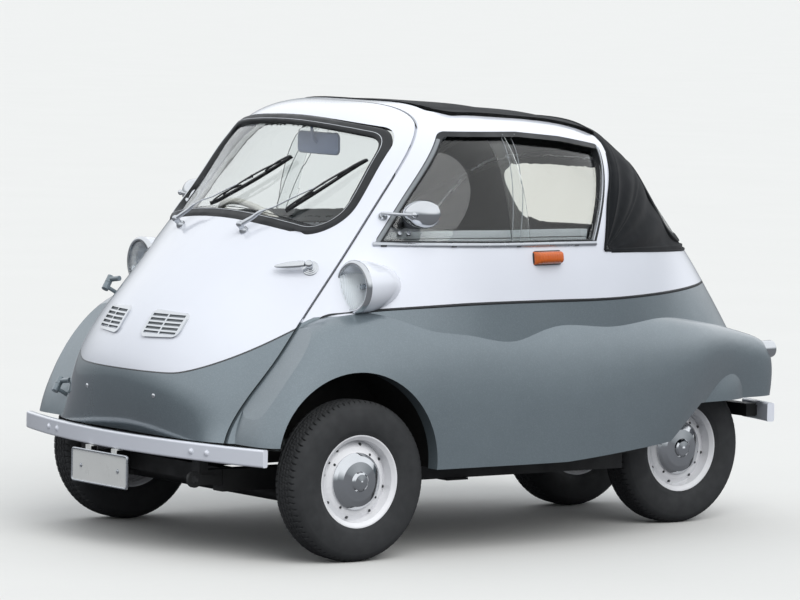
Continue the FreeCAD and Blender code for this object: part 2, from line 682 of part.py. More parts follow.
# ---------------------------------------------------------------- hinges of the door
hinge_low = at(1082, -470, 440)
hinge_high = at(862, -538, 742)
hinge_way = hinge_high - hinge_low
hinge_way.normalize()
outer_block = doc.addObject("Part::Feature", "outer_block")
outer_block.Shape = outer
LEAVES = [
    # node, stretch of the pin it wraps, strap's place on the pin, where it goes, its radius
    ("door_hinges", 0.5, 24, 13, Vector(-10, 45, 12), "8"),
    ("hinge_brackets", -24, -0.5, -13, Vector(-62, 14, -14), "6"),
]
for label, start, stop, strap_at, reach, strap_radius in LEAVES:
    leaf_parts = []
    for number, spot in enumerate((hinge_low, hinge_high)):
        knuckle = rod(f"{label}_knuckle_{number}", spot + hinge_way * start, spot + hinge_way * stop, "11")
        root = spot + hinge_way * strap_at
        reached = root + reach - hinge_way * reach.dot(hinge_way)
        strap = rod(f"{label}_strap_{number}", root, reached, strap_radius)
        leaf = fuse(f"{label}_all_{number}", [knuckle, strap])
        leaf_parts.append(cut(f"{label}_{number}", leaf, outer_block))
    node(group(label + "_set", leaf_parts), label)

# ---------------------------------------------------------------- floor, housings, bulkhead
def plate_along(points, thick, half_width):
    """A sheet that follows a side-view line (x, z), as wide as the inside of the body."""
    above = [(x, z + thick) for x, z in reversed(points)]
    return prism(points + above, "y", -half_width, half_width)


floor_line = [(-430 * STRETCH.x, size("sill_height")), (560 * STRETCH.x, size("sill_height")),
              (1060 * STRETCH.x, 318 * STRETCH.z)]
floor = plate_along(floor_line, size("floor_sheet"), FAR).common(inner)
housings = []
for sign in (1, -1):
    wall_in = size("housing_inner_y") - size("housing_wall")
    low, high = sorted((sign * wall_in, sign * size("housing_outer_y")))
    solid_housing = wheel_axis_cylinder(housing_outside, low, high, arch_x, arch_z)
    low, high = sorted((sign * size("housing_inner_y"), sign * (size("housing_outer_y") + 50)))
    hollow = wheel_axis_cylinder(size("housing_radius"), low, high, arch_x, arch_z)
    housings.append(solid_housing.cut(hollow).cut(underside))
    low, high = sorted((sign * wall_in, sign * FAR))
    floor = floor.cut(wheel_axis_cylinder(housing_outside, low, high, arch_x, arch_z))
housing_pair = [housing.common(outer).cut(ahead_of_seam) for housing in housings]
floor = floor.cut(behind_seam)
piece("floor_pan", floor)
piece("wheel_housings", Part.makeCompound(housing_pair))

shelf_line = [(-430, 275), (-478, 640), (-560, 700), (-900, 706)]
shelf_points = beyond(shelf_line)
shelf_up = [(x - 10, z) for x, z in shelf_points[:2]] + [(x, z - 10) for x, z in shelf_points[2:]]
sheet_all = prism(shelf_points + list(reversed(shelf_up)), "y", -FAR, FAR)
piece("rear_bulkhead", sheet_all.cut(sheet_all.cut(inner)))

# ---------------------------------------------------------------- bumpers
def bumper_blade(middle_x, way, span, bow, low, high, depth, start=None, end=None):
    """A blade bowed to an arc in plan: a rounded outline turned about the arc's centre.

    way: 1 for a blade bowed forwards, -1 for one bowed backwards. start and end: the
    stretch across the car that is kept, the whole span if left out.
    """
    radius = (span * span / 4 + bow * bow) / (2 * bow)
    centre = Vector(middle_x - way * radius, 0, 0)
    near, far = sorted((middle_x, middle_x - way * depth))
    bar = prism([(near, low), (far, low), (far, high), (near, high)], "y", 0, 1, depth * 0.3)
    outline = min(bar.Faces, key=lambda f: f.CenterOfMass.y)
    first = math.degrees(math.asin((-span / 2 if start is None else start) / radius))
    last = math.degrees(math.asin((span / 2 if end is None else end) / radius))
    outline.rotate(centre, Vector(0, 0, 1), way * first)
    return outline.revolve(centre, Vector(0, 0, way), last - first)


nose_x = 1182 * STRETCH.x
blade_top = size("bumper_bottom") + size("bumper_height")
front_blade = piece("front_bumper", bumper_blade(nose_x, 1, size("bumper_span"), size("bumper_bow"),
                                                 size("bumper_bottom"), blade_top, size("bumper_depth")))
rear_blades = [bumper_blade(-1108 * STRETCH.x, -1, 820, 60, 318, 378, 24, start, end)
               for start, end in ((235, 410), (-410, -235))]
piece("rear_bumpers", Part.makeCompound(rear_blades))

# ---------------------------------------------------------------- chassis
rail = size("rail_offset")
bottom = size("rail_bottom")
RISER_X = -500          # back face of the frame's rear end
REAR_RAIL_Y, REAR_RAIL_LOW = 120, 300


def bar(name, low, high):
    """A square-section frame member between two corners."""
    made = solid("Box", name, low)
    made.Length, made.Width, made.Height = high.x - low.x, high.y - low.y, high.z - low.z
    return made


def across(sign, middle, width):
    """The low and high y of a member on one side."""
    return sign * middle - width / 2, sign * middle + width / 2


members, rear_members = [], []
for side, sign in (("left", 1), ("right", -1)):
    low, high = across(sign, rail, size("rail_width"))
    rail_top = bottom + size("rail_height")
    members.append(bar(side + "_rail", Vector(RISER_X, low, bottom), Vector(1010, high, rail_top)))
    low, high = across(sign, rail, size("pad_width"))
    members.append(bar(side + "_jacking_pad", Vector(110, low, bottom - 6), Vector(190, high, bottom)))
    low, high = across(sign, rail, 40)
    members.append(bar(side + "_horn", Vector(960, low, bottom + 20), Vector(1090, high, bottom + 66)))
    members.append(bar(side + "_bumper_post", Vector(1060, low, bottom + 20), Vector(1090, high, bottom + 130)))
    members.append(bar(side + "_bumper_arm", Vector(1060, low, 292), Vector(1145, high, 318)))
    low, high = across(sign, REAR_RAIL_Y, 40)
    riser = bar(side + "_riser", Vector(RISER_X - 40, low, bottom), Vector(RISER_X, high, REAR_RAIL_LOW))
    rear_rail = bar(side + "_rear_rail", Vector(-1040, low, REAR_RAIL_LOW),
                    Vector(RISER_X, high, REAR_RAIL_LOW + 45))
    low, high = across(sign, 300, 60)
    bumper_arm = bar(side + "_rear_bumper_arm", Vector(-1090, low, 332), Vector(-1020, high, 364))
    rear_members += [riser, rear_rail, bumper_arm]
members.append(bar("engine_cradle", Vector(-506, -440, 246), Vector(-432, -300, 274)))
for name, x in (("rear_cross", RISER_X), ("middle_cross", 60), ("front_cross", 900)):
    members.append(bar(name, Vector(x, -rail, bottom + 8), Vector(x + 45, rail, bottom + 58)))
rear_members.append(bar("tail_cross", Vector(-1040, -330, REAR_RAIL_LOW + 30),
                        Vector(-1000, 330, REAR_RAIL_LOW + 70)))
eye_middle = Vector(1112, rail + 20, bottom + 42)
eye = cut("tow_eye_ring", fuse("tow_eye_all", [
    solid("Cylinder", "tow_eye_disc", eye_middle, ALONG_Y, Radius="tow_eye_radius + 13",
          Height="tow_eye_sheet"),
    solid("Box", "tow_eye_tail", eye_middle - Vector(72, 0, 18), Length="72", Width="tow_eye_sheet",
          Height="30")]),
    solid("Cylinder", "tow_eye_hole", eye_middle - Vector(0, 1, 0), ALONG_Y, Radius="tow_eye_radius",
          Height="tow_eye_sheet + 2"))
members.append(eye)
blade_block = doc.addObject("Part::Feature", "blade_block")
blade_block.Shape = Part.makeCompound([front_blade.Shape] + rear_blades)
node(cut("chassis_cut", fuse("chassis_all", members), blade_block), "chassis_frame")
node(cut("subframe_cut", fuse("subframe_all", rear_members), blade_block), "rear_subframe")

# ---------------------------------------------------------------- front axle and knuckles
king = size("front_track") / 2 - size("kingpin_offset")
hub_z = size("tyre_radius")
half_pin = size("kingpin_height") / 2
BEAM_RADIUS = 24
beam = solid("Cylinder", "axle_beam", Vector(front_x, -(king - 45), bottom - BEAM_RADIUS - 0.2), ALONG_Y)
beam.Radius = BEAM_RADIUS
beam.Height = 2 * (king - 45)
axle_parts = [beam]
PIN_OVER, EAR_HEIGHT, EAR_GAP, ARM_REACH = 20, 20, 0.5, 75
lower_ear = hub_z - half_pin - EAR_HEIGHT - EAR_GAP
for side, sign in (("left", 1), ("right", -1)):
    pin = solid("Cylinder", side + "_kingpin", Vector(front_x, sign * king, hub_z - half_pin - PIN_OVER),
                Radius="kingpin_radius")
    pin.Height = 2 * (half_pin + PIN_OVER)
    axle_parts.append(pin)
    arm_low = min(sign * (king - ARM_REACH), sign * king)
    for level, low in (("upper", hub_z + half_pin + EAR_GAP), ("lower", lower_ear)):
        axle_parts.append(solid("Cylinder", f"{side}_{level}_ear", Vector(front_x, sign * king, low),
                                Radius="22", Height="20"))
        axle_parts.append(solid("Box", f"{side}_{level}_arm", Vector(front_x - 15, arm_low, low),
                                Length="30", Width="75", Height="20"))
    web_low = min(sign * (king - ARM_REACH), sign * (king - ARM_REACH + 30))
    axle_parts.append(solid("Box", side + "_web", Vector(front_x - 15, web_low, lower_ear),
                            Length="30", Width="30", Height="kingpin_height + 41"))
node(fuse("front_axle_all", axle_parts), "front_axle")

STUB_OUT = 22           # of the stub axle past the wheel's middle
for side, sign in (("left", 1), ("right", -1)):
    foot = Vector(front_x, sign * king, hub_z - half_pin)
    sleeve = solid("Cylinder", side + "_sleeve", foot, Radius="19", Height="kingpin_height")
    bore = solid("Cylinder", side + "_sleeve_bore", foot - Vector(0, 0, 1),
                 Radius="kingpin_radius + pin_clearance", Height="kingpin_height + 2")
    stub_low = min(sign * king, sign * (size("front_track") / 2 + STUB_OUT))
    stub = solid("Cylinder", side + "_stub", Vector(front_x, stub_low, hub_z), ALONG_Y,
                 Radius="stub_radius", Height="kingpin_offset + 22")
    steer_arm = solid("Box", side + "_steering_arm", Vector(front_x - 110, sign * king - 12, hub_z - 40),
                      Length="110", Width="24", Height="16")
    plate_low = min(sign * (king + 19), sign * (king + 23))
    backplate = solid("Cylinder", side + "_backplate", Vector(front_x, plate_low, hub_z), ALONG_Y,
                      Radius="72", Height="4")
    knuckle_all = fuse(side + "_knuckle_all", [sleeve, stub, steer_arm, backplate])
    node(cut(side + "_knuckle_cut", knuckle_all, bore), side + "_knuckle")

# ---------------------------------------------------------------- wheels
# Each outline is (radius, along), the outer face of the wheel towards +along.
TYRE = [
    ("bead_radius", "-rim_width/2+5.6"), ("bead_radius", "rim_width/2-5.6"),
    ("flange_radius+3", "rim_width/2-3"), ("flange_radius+22", "tyre_width/2-3"),
    ("flange_radius+46", "tyre_width/2"), ("tyre_radius-24", "tyre_width/2-5"),
    ("tyre_radius-7", "tread_width/2+11"), ("tyre_radius", "tread_width/2-6"),
    ("tyre_radius", "-tread_width/2+6"), ("tyre_radius-7", "-tread_width/2-11"),
    ("tyre_radius-24", "-tyre_width/2+5"), ("flange_radius+46", "-tyre_width/2"),
    ("flange_radius+22", "-tyre_width/2+3"), ("flange_radius+3", "-rim_width/2+3"),
]
# The rim with its dished disc.
RIM = [
    ("hub_radius", "-22"), ("hub_radius", "24"), ("hub_radius+26", "36"), ("hubcap_radius-4", "33"),
    ("hubcap_radius+16", "26"), ("bead_radius-12", "12"), ("bead_radius-8", "rim_width/2-9"),
    ("bead_radius+3", "rim_width/2-1"), ("flange_radius", "rim_width/2"),
    ("flange_radius", "rim_width/2-2.4"), ("bead_radius-0.2", "rim_width/2-5.2"),
    ("bead_radius-0.2", "-rim_width/2+5.2"), ("flange_radius", "-rim_width/2+2.4"),
    ("flange_radius", "-rim_width/2"), ("bead_radius+3", "-rim_width/2+1"),
    ("bead_radius-6", "-rim_width/2+9"), ("bead_radius-6", "4"), ("hubcap_radius+14", "18"),
    ("hubcap_radius-6", "25"), ("hub_radius+26", "28"), ("hub_radius+8", "16"), ("hub_radius+8", "-22"),
]
HUB = [
    ("stub_radius+pin_clearance", "-22"), ("hub_radius", "-22"), ("hub_radius", "24"),
    ("stub_radius+pin_clearance", "24"),
]
CAP = [
    ("0", "66"), ("22", "63.5"), ("27", "60"), ("30", "55.5"), ("58", "52"), ("hubcap_radius-9", "44"),
    ("hubcap_radius", "36.5"), ("hubcap_radius", "33.2"), ("hubcap_radius-6", "33.2"),
    ("hubcap_radius-13", "40"), ("56", "47.5"), ("26", "51"), ("0", "58"),
]


def wheel(name, place, sign):
    """Tyre, rim and cap of one wheel; sign turns its face left or right."""
    turn = Rotation() if sign > 0 else Rotation(Vector(0, 0, 1), 180)
    tyre = revolve(name + "_tyre_body", TYRE, place, turn)
    disc = revolve(name + "_rim_disc", RIM, place, turn)
    hub = revolve(name + "_rim_hub", HUB, place, turn)
    cap = revolve(name + "_cap_body", CAP, place, turn)
    return tyre, fuse(name + "_rim_all", [disc, hub]), cap


for side, sign in (("left", 1), ("right", -1)):
    centre = Vector(front_x, sign * size("front_track") / 2, hub_z)
    tyre, rim, cap = wheel("front_" + side, centre, sign)
    node(group(f"front_{side}_tyre_set", [tyre]), f"front_{side}_tyre")
    node(rim, f"front_{side}_rim")
    node(group(f"front_{side}_cap_set", [cap]), f"front_{side}_hubcap")
rear_sets = [wheel("rear_" + side, Vector(rear_x, sign * size("rear_track") / 2, hub_z), sign)
             for side, sign in (("left", 1), ("right", -1))]
for label, parts in zip(("rear_tyres", "rear_rims", "rear_hubcaps"), zip(*rear_sets)):
    node(group(label + "_set", list(parts)), label)
half_rear = size("rear_track") / 2
COLLAR_WIDTH, COLLAR_IN = 16, 22.3      # collars on the shaft, just inside the rear hubs
shaft = solid("Cylinder", "shaft_rod", Vector(rear_x, -(half_rear + 24), hub_z), ALONG_Y,
              Radius="stub_radius", Height="rear_track + 48")
collar_lows = (-(half_rear - COLLAR_IN), half_rear - COLLAR_IN - COLLAR_WIDTH)
collars = [solid("Cylinder", f"shaft_collar_{k}", Vector(rear_x, y, hub_z), ALONG_Y, Radius="24", Height="16")
           for k, y in enumerate(collar_lows)]
node(fuse("rear_axle_all", [shaft] + collars), "rear_axle")

# ---------------------------------------------------------------- rear suspension and engine
tube_half = half_rear - 75
case_parts = [solid("Cylinder", "axle_tube", Vector(rear_x, -tube_half, hub_z), ALONG_Y, Radius="30")]
case_parts[0].Height = 2 * tube_half
case_end = RISER_X - 40.3
case_parts.append(bar("chain_case", Vector(rear_x - 70, -45, hub_z - 62), Vector(case_end, 25, hub_z + 61.7)))
for side, sign in (("left", 1), ("right", -1)):
    low, high = across(sign, REAR_RAIL_Y, 36)
    case_parts.append(bar(side + "_spring", Vector(rear_x - 40, low, hub_z + 20),
                          Vector(case_end, high, hub_z + 38)))
case_bore = solid("Cylinder", "axle_bore", Vector(rear_x, -400, hub_z), ALONG_Y,
                  Radius="stub_radius + pin_clearance", Height="800")
node(cut("rear_case_cut", fuse("rear_case_all", case_parts), case_bore), "rear_suspension")
engine = solid("Box", "engine_box", Vector(-720, -440, 274), Length="220", Width="105", Height="270")
barrel = solid("Cylinder", "engine_barrel", Vector(-610, -388, 540), Radius="50", Height="70")
node(fuse("engine_all", [engine, barrel]), "engine_block")

# ---------------------------------------------------------------- seat
half_seat = size("seat_width") / 2
cushion = solid("Box", "cushion_box", Vector(-330, -half_seat, 400),
                Length="seat_depth", Width="seat_width", Height="cushion")
node(group("cushion_set", [cushion]), "seat_cushion")
BACKREST_TILT, BACKREST_IN = -12, 25
backrest = solid("Box", "back_box", Vector(-345, -half_seat + BACKREST_IN, 507.2),
                 Rotation(Vector(0, 1, 0), BACKREST_TILT),
                 Length="backrest", Width="seat_width - 50", Height="370")
node(group("back_set", [backrest]), "seat_backrest")
node(fuse("stand_all", [
    solid("Box", "stand_front", Vector(40, -430, 275), Length="20", Width="860", Height="104"),
    solid("Box", "stand_rear", Vector(-300, -430, 275), Length="20", Width="860", Height="104"),
    solid("Box", "stand_top", Vector(-320, -480, 379), Length="420", Width="960", Height="20.7")]),
    "seat_frame")
knob_place = Vector(230, 500, 620)
node(fuse("lever_all", [
    rod("gear_stick", Vector(190, 520, 360), knob_place, "7"), ball("gear_knob", knob_place, "19"),
    solid("Box", "gear_gate", Vector(120, 500, 275), Length="150", Width="50", Height="90")]), "gear_lever")

# ---------------------------------------------------------------- lamps, mirrors, bumpers, plate
TO_FRONT = Rotation(Vector(0, 1, 0), 90)
lamps = []
for side, sign in (("left", 1), ("right", -1)):
    face = at(712, sign * 566, 802)
    shell_body = solid("Ellipsoid", side + "_lamp_shell", face - Vector(25, 0, 0), TO_FRONT,
                       Radius1="lamp_length", Radius2="lamp_radius", Radius3="lamp_radius")
    shell_body.Angle1, shell_body.Angle2, shell_body.Angle3 = -90, 90, 360
    front_block = solid("Box", side + "_lamp_front", face + Vector(0, -200, -200),
                        Length="400", Width="400", Height="400")
    lens = solid("Ellipsoid", side + "_lens", face - Vector(4, 0, 0), TO_FRONT,
                 Radius1="20", Radius2="lens_radius", Radius3="lens_radius")
    ring = solid("Torus", side + "_lamp_ring", face, TO_FRONT, Radius1="lamp_radius - 3", Radius2="6")
    half_shell = cut(side + "_lamp_half", shell_body, front_block)
    lamps.append(cut(side + "_lamp_cut", fuse(side + "_lamp_all", [half_shell, ring, lens]), outer_block))
node(group("lamp_set", lamps), "headlights")

mirror_set = []
for side, sign in (("left", 1), ("right", -1)):
    face = at(515, sign * 640, 1017)
    clamp = at(576, 0, 1003)
    clamp.y = on_side(clamp.x, clamp.z, sign) + sign * 4
    bowl = solid("Ellipsoid", side + "_mirror_bowl", face, ALONG_Y,
                 Radius1="mirror_depth", Radius2="mirror_radius", Radius3="mirror_radius")
    bowl.Angle1, bowl.Angle2, bowl.Angle3 = -90, 90, 360
    outward = bar(side + "_mirror_outward", face + Vector(-200, min(0, sign * 200), -200),
                  face + Vector(200, max(0, sign * 200), 200))
    arm = rod(side + "_mirror_arm", clamp, face - Vector(0, sign * 14, 0), "6")
    fitted = fuse(side + "_mirror_all", [cut(side + "_mirror_head", bowl, outward), arm,
                                         ball(side + "_mirror_clamp", clamp, "13")])
    mirror_set.append(cut(side + "_mirror_trim", fitted, outer_block))
node(group("mirror_group", mirror_set), "side_mirrors")

indicators, tails = [], []
for side, sign in (("left", 1), ("right", -1)):
    middle = at(54, 0, 877)
    middle.y = on_side(middle.x, middle.z, sign) - (20 if sign > 0 else 30)
    end_gap = size("indicator_length") / 2 - size("indicator_height") / 2
    block = solid("Box", side + "_indicator", middle - Vector(end_gap, 0, size("indicator_height") / 2),
                  Length="indicator_length - indicator_height", Width="50", Height="indicator_height")
    ends = [solid("Cylinder", f"{side}_indicator_end_{k}", middle + Vector(x, 0, 0), ALONG_Y,
                  Radius="indicator_height / 2", Height="50") for k, x in enumerate((-end_gap, end_gap))]
    indicators.append(cut(side + "_indicator_cut", fuse(side + "_indicator_all", [block] + ends), outer_block))
    tail = solid("Cylinder", side + "_tail_lamp", at(-1030, sign * 352, 545), Rotation(Vector(0, 1, 0), -90),
                 Radius="26", Height="62")
    tails.append(cut(side + "_tail_cut", tail, outer_block))
node(group("indicator_set", indicators), "side_indicators")
node(group("tail_set", tails), "tail_lamps")


plate_x = nose_x + 6
plate_y, plate_low = -63, 180
STAY_OUT = 70           # stays, either side of the plate's middle
stay_foot = plate_low + 12
board = solid("Box", "plate_board", Vector(plate_x, plate_y - size("plate_width") / 2, plate_low), Length="3",
              Width="plate_width", Height="plate_height")
plate_parts, holes = [board], []
for number, sign in enumerate((-1, 1)):
    stay_y = plate_y + sign * STAY_OUT - 12
    plate_parts.append(solid("Box", f"plate_stay_{number}", Vector(plate_x - 4, stay_y, stay_foot),
                             Length="4", Width="24", Height=f"bumper_bottom - {stay_foot}"))
    foot_place = Vector(plate_x - 26, stay_y, size("bumper_bottom") - 4)
    plate_parts.append(solid("Box", f"plate_foot_{number}", foot_place, Length="26", Width="24", Height="4"))
    hole_y = plate_y + sign * size("plate_bolts") / 2
    holes.append(solid("Cylinder", f"plate_hole_{number}",
                       Vector(plate_x - 1, hole_y, plate_low + size("plate_height") / 2), ALONG_X,
                       Radius="plate_bolt_radius", Height="5"))
node(cut("plate_cut", fuse("plate_all", plate_parts), fuse("plate_holes", holes)), "number_plate")

doc.recompute()
os.makedirs("parts", exist_ok=True)
bad = [obj.Name for obj in doc.Objects if any(flag in obj.State for flag in ("Invalid", "Error"))]
bad += [obj.Label for obj in NODES if obj.Shape.isNull() or not obj.Shape.Solids or not obj.Shape.isValid()]
if bad:
    raise SystemExit("not written, because these are broken: " + ", ".join(bad))
for obj in NODES:
    obj.Shape.exportStep(f"parts/{obj.Label}.step")
print(len(NODES), "parts written")
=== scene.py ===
"""Looks of a two-seat bubble car: front door, folding top, narrow rear track.

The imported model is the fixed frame. Every piece is worked out here in metres in that
frame, rides on one of its bodies, and carries a finish made only of shader nodes.
"""
import logging
import math
from collections.abc import Iterable, Sequence
from dataclasses import dataclass, field
from enum import Enum

import bmesh
import bpy
import numpy as np
from mathutils import Matrix, Vector
from mathutils.bvhtree import BVHTree


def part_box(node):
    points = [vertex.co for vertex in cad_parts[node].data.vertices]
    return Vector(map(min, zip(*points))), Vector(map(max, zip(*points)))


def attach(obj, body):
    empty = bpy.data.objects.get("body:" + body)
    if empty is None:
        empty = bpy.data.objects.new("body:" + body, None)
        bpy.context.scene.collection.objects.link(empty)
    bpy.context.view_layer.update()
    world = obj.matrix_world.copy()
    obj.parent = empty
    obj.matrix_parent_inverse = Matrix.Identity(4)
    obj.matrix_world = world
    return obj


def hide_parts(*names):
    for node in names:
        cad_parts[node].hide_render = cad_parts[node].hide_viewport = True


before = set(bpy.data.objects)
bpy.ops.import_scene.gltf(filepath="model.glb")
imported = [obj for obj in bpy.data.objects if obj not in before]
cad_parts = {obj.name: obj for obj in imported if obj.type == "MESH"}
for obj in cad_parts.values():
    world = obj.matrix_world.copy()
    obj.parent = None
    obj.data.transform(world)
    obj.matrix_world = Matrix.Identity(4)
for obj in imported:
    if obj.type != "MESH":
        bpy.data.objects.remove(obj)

log = logging.getLogger("bubble_car")

Array = np.ndarray
Pair = tuple[float, float]
Spot = tuple[float, float, float]
Places = Sequence[Sequence[float]]
Tree = bpy.types.NodeTree
Socket = bpy.types.NodeSocket
Met = tuple[Array, Array]       # points, and outward directions there

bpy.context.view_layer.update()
WHEELBASE_MIDDLE_MM = -50.0     # where the middle of the wheelbase lies along the row's X
END_RAYS_MM = 1600.0            # level rays start this far ahead of the middle, or behind it
SIDE_RAYS_MM = 1100.0           # and this far to a side


class Body(Enum):
    """The moving bodies that pieces ride on."""

    SHELL = "body"
    DOOR = "door"
    FRONT_LEFT = "front_left_roller"
    FRONT_RIGHT = "front_right_roller"
    REAR = "rear_rollers"


class Side(Enum):
    """The two sides of the car, as the sign of Y."""

    LEFT = 1
    RIGHT = -1


# ---------------- numbers and places
def place(x: float | Array, y: float | Array, z: float | Array) -> Array:
    """Places in the row frame.

    Args:
        x: Millimetres ahead of the middle of the wheelbase.
        y: Millimetres to the car's left of its middle plane.
        z: Millimetres above the floor.

    Returns:
        The same places in metres, three numbers each.
    """
    return np.stack(np.broadcast_arrays(x + WHEELBASE_MIDDLE_MM, y, z), -1) / 1000


def unit(vectors: Array) -> Array:
    """Each vector divided by its own length."""
    vectors = np.asarray(vectors, float)
    return vectors / np.maximum(np.linalg.norm(vectors, axis=-1, keepdims=True), 1e-12)


def respaced(points: Array, count: int, closed: bool = False) -> Array:
    """Even steps along a polyline.

    Formula: the polyline's running length is inverted by linear interpolation.

    Args:
        points: The polyline's corners, one a row.
        count: How many points come back.
        closed: Whether the last corner joins the first.

    Returns:
        The evenly spaced points, without a repeated first point when closed.
    """
    line = np.vstack((points, points[:1])) if closed else np.asarray(points, float)
    walked = np.concatenate(([0.0], np.cumsum(np.linalg.norm(np.diff(line, axis=0), axis=1))))
    want = np.linspace(0, walked[-1], count, endpoint=not closed)
    return np.stack([np.interp(want, walked, column) for column in line.T], axis=1)


def cubic(a: Array, b: Array, c: Array, d: Array, t: Array) -> Array:
    """The Catmull-Rom cubic through b and c, whose slopes there follow a to c and b to d."""
    return 0.5 * (2 * b + (c - a) * t + (2 * a - 5 * b + 4 * c - d) * t ** 2
                  + (3 * b - a - 3 * c + d) * t ** 3)


def curve_through(knots: Array, count: int, closed: bool = False) -> Array:
    """A smooth line through knots.

    Formula: the Catmull-Rom cubic, in which each span leaves a knot along the chord of
    its two neighbours, walked in even steps.

    Args:
        knots: Points that the line passes through.
        count: How many points come back.
        closed: Whether the line returns to its first knot.

    Returns:
        The points of the line.
    """
    knots = np.asarray(knots, float)
    if closed:
        padded = np.vstack((knots[-1:], knots, knots[:2]))
        spans = len(knots)
    else:
        padded = np.vstack((2 * knots[:1] - knots[1:2], knots, 2 * knots[-1:] - knots[-2:-1]))
        spans = len(knots) - 1
    walk = np.linspace(0, spans, spans * 12 + (0 if closed else 1), endpoint=not closed)
    index = np.minimum(walk.astype(int), spans - 1)
    t = (walk - index)[:, None]
    a, b, c, d = (padded[index + k] for k in range(4))
    return respaced(cubic(a, b, c, d, t), count, closed)


def refined(grid: Array, rows: int, columns: int) -> Array:
    """A coarse grid of values made fine in both directions.

    Formula: the cubic convolution kernel with weight -1/2 along the rows, then along the
    columns, the border mirrored through its end values.

    Args:
        grid: Coarse values, rows x columns x channels.
        rows: Rows wanted.
        columns: Columns wanted.

    Returns:
        The fine grid.
    """
    for count in (rows, columns):
        padded = np.concatenate((2 * grid[:1] - grid[1:2], grid, 2 * grid[-1:] - grid[-2:-1]))
        walk = np.linspace(0, len(grid) - 1, count)
        index = np.minimum(walk.astype(int), len(grid) - 2)
        t = (walk - index)[:, None, None]
        a, b, c, d = (padded[index + k] for k in range(4))
        grid = cubic(a, b, c, d, t).swapaxes(0, 1)
    return grid


def evened(values: Array, times: int, closed: bool = False) -> Array:
    """Values averaged with both neighbours, a number of times."""
    for _ in range(times):
        before, after = np.roll(values, 1, 0), np.roll(values, -1, 0)
        if not closed:
            before[0], after[-1] = values[0], values[-1]
        values = (before + 2 * values + after) / 4
    return values


def smoothed(spots: Array, facing: Array, times: tuple[int, int], count: int,
             closed: bool = False) -> list[Array]:
    """A path and its outward directions, each evened a number of times and drawn as a smooth line."""
    return [curve_through(evened(values, n, closed), count, closed)
            for values, n in zip((spots, facing), times)]


def signed_power(values: Array, power: float) -> Array:
    """Each value's size to a power, with its own sign."""
    return np.sign(values) * np.abs(values) ** power


def rounded_outline(corners: Places, radius: float | Sequence[float], steps: int = 7) -> Array:
    """A closed flat outline with arcs at its corners.

    Formula: the arc leaves each side at radius / tan(half the corner's angle), and its
    points swing evenly about the arc's centre, which lies on the corner's bisector.

    Args:
        corners: Corners in order, two numbers each.
        radius: Arc radius, one for all or one for each corner.
        steps: Points along each arc.

    Returns:
        The outline's points.
    """
    corners = np.asarray(corners, float)
    radii = np.broadcast_to(np.asarray(radius, float), len(corners))[:, None]
    back = unit(np.roll(corners, 1, 0) - corners)
    ahead = unit(np.roll(corners, -1, 0) - corners)
    half = np.arccos(np.clip((back * ahead).sum(1), -1, 1))[:, None] / 2
    reach = radii / np.tan(half)
    centre = corners + unit(back + ahead) * radii / np.sin(half)
    first, last = corners + back * reach - centre, corners + ahead * reach - centre
    swing = np.maximum(math.pi - 2 * half, 1e-4)[:, None]
    share = np.linspace(0, 1, steps)[None, :, None]
    arc = np.sin((1 - share) * swing) * first[:, None] + np.sin(share * swing) * last[:, None]
    return (centre[:, None] + arc / np.sin(swing)).reshape(-1, 2)


def bump_section(width: float, height: float, sink: float, points: int = 9, fullness: float = 2.6) -> Array:
    """The closed section of a raised strip.

    Formula: a superellipse arch, |u|^n + |v|^n = 1, on legs that go down by sink.

    Args:
        width: Across the strip.
        height: Above the surface.
        sink: Below the surface.
        points: Points along the arch.
        fullness: The superellipse's power.

    Returns:
        Points (across, up).
    """
    turn = np.linspace(0, math.pi, points)
    across = signed_power(np.cos(turn), 2 / fullness) * width / 2
    up = np.sin(turn) ** (2 / fullness) * height
    up[[0, -1]] = 0
    return np.vstack(((width / 2, -sink), np.stack((across, up), 1), (-width / 2, -sink)))


def circle(radius: float, points: int = 12, squash: float = 1.0) -> Array:
    """Points (across, up) of a circle, its height multiplied by squash."""
    turn = np.arange(points) * math.tau / points
    return np.stack((np.cos(turn), np.sin(turn) * squash), 1) * radius


# ---------------- surfaces and meshes
@dataclass
class Patch:
    """A surface as a grid of points.

    Attributes:
        points: Rows x columns x 3, metres in the row frame.
        ring: The last column joins the first.
        loop: The last row joins the first.
        caps: The first and last rows are closed with a face.
        finish: Index of the finish that it takes.
        keep: Mask of the faces that are made, all if left out.
        sheet_uv: Rows x columns x 2, metres along the cloth.
    """

    points: Array
    ring: bool = False
    loop: bool = False
    caps: bool = False
    finish: int = 0
    keep: Array | None = None
    sheet_uv: Array | None = None

    def faces(self, first: int) -> tuple[list[list[int]], list[list[int]]]:
        """Corner numbers of the faces.

        Args:
            first: Number of the patch's first vertex in the mesh.

        Returns:
            The four-sided faces, and the faces that close the ends.
        """
        rows, columns = self.points.shape[:2]
        index = np.arange(rows * columns).reshape(rows, columns) + first
        caps = [index[0][::-1].tolist(), index[-1].tolist()] if self.caps else []
        if self.ring:
            index = np.hstack((index, index[:, :1]))
        if self.loop:
            index = np.vstack((index, index[:1]))
        quads = np.stack((index[:-1, :-1], index[:-1, 1:], index[1:, 1:], index[1:, :-1]), -1)
        quads = quads[self.keep] if self.keep is not None else quads.reshape(-1, 4)
        return quads.reshape(-1, 4).tolist(), caps


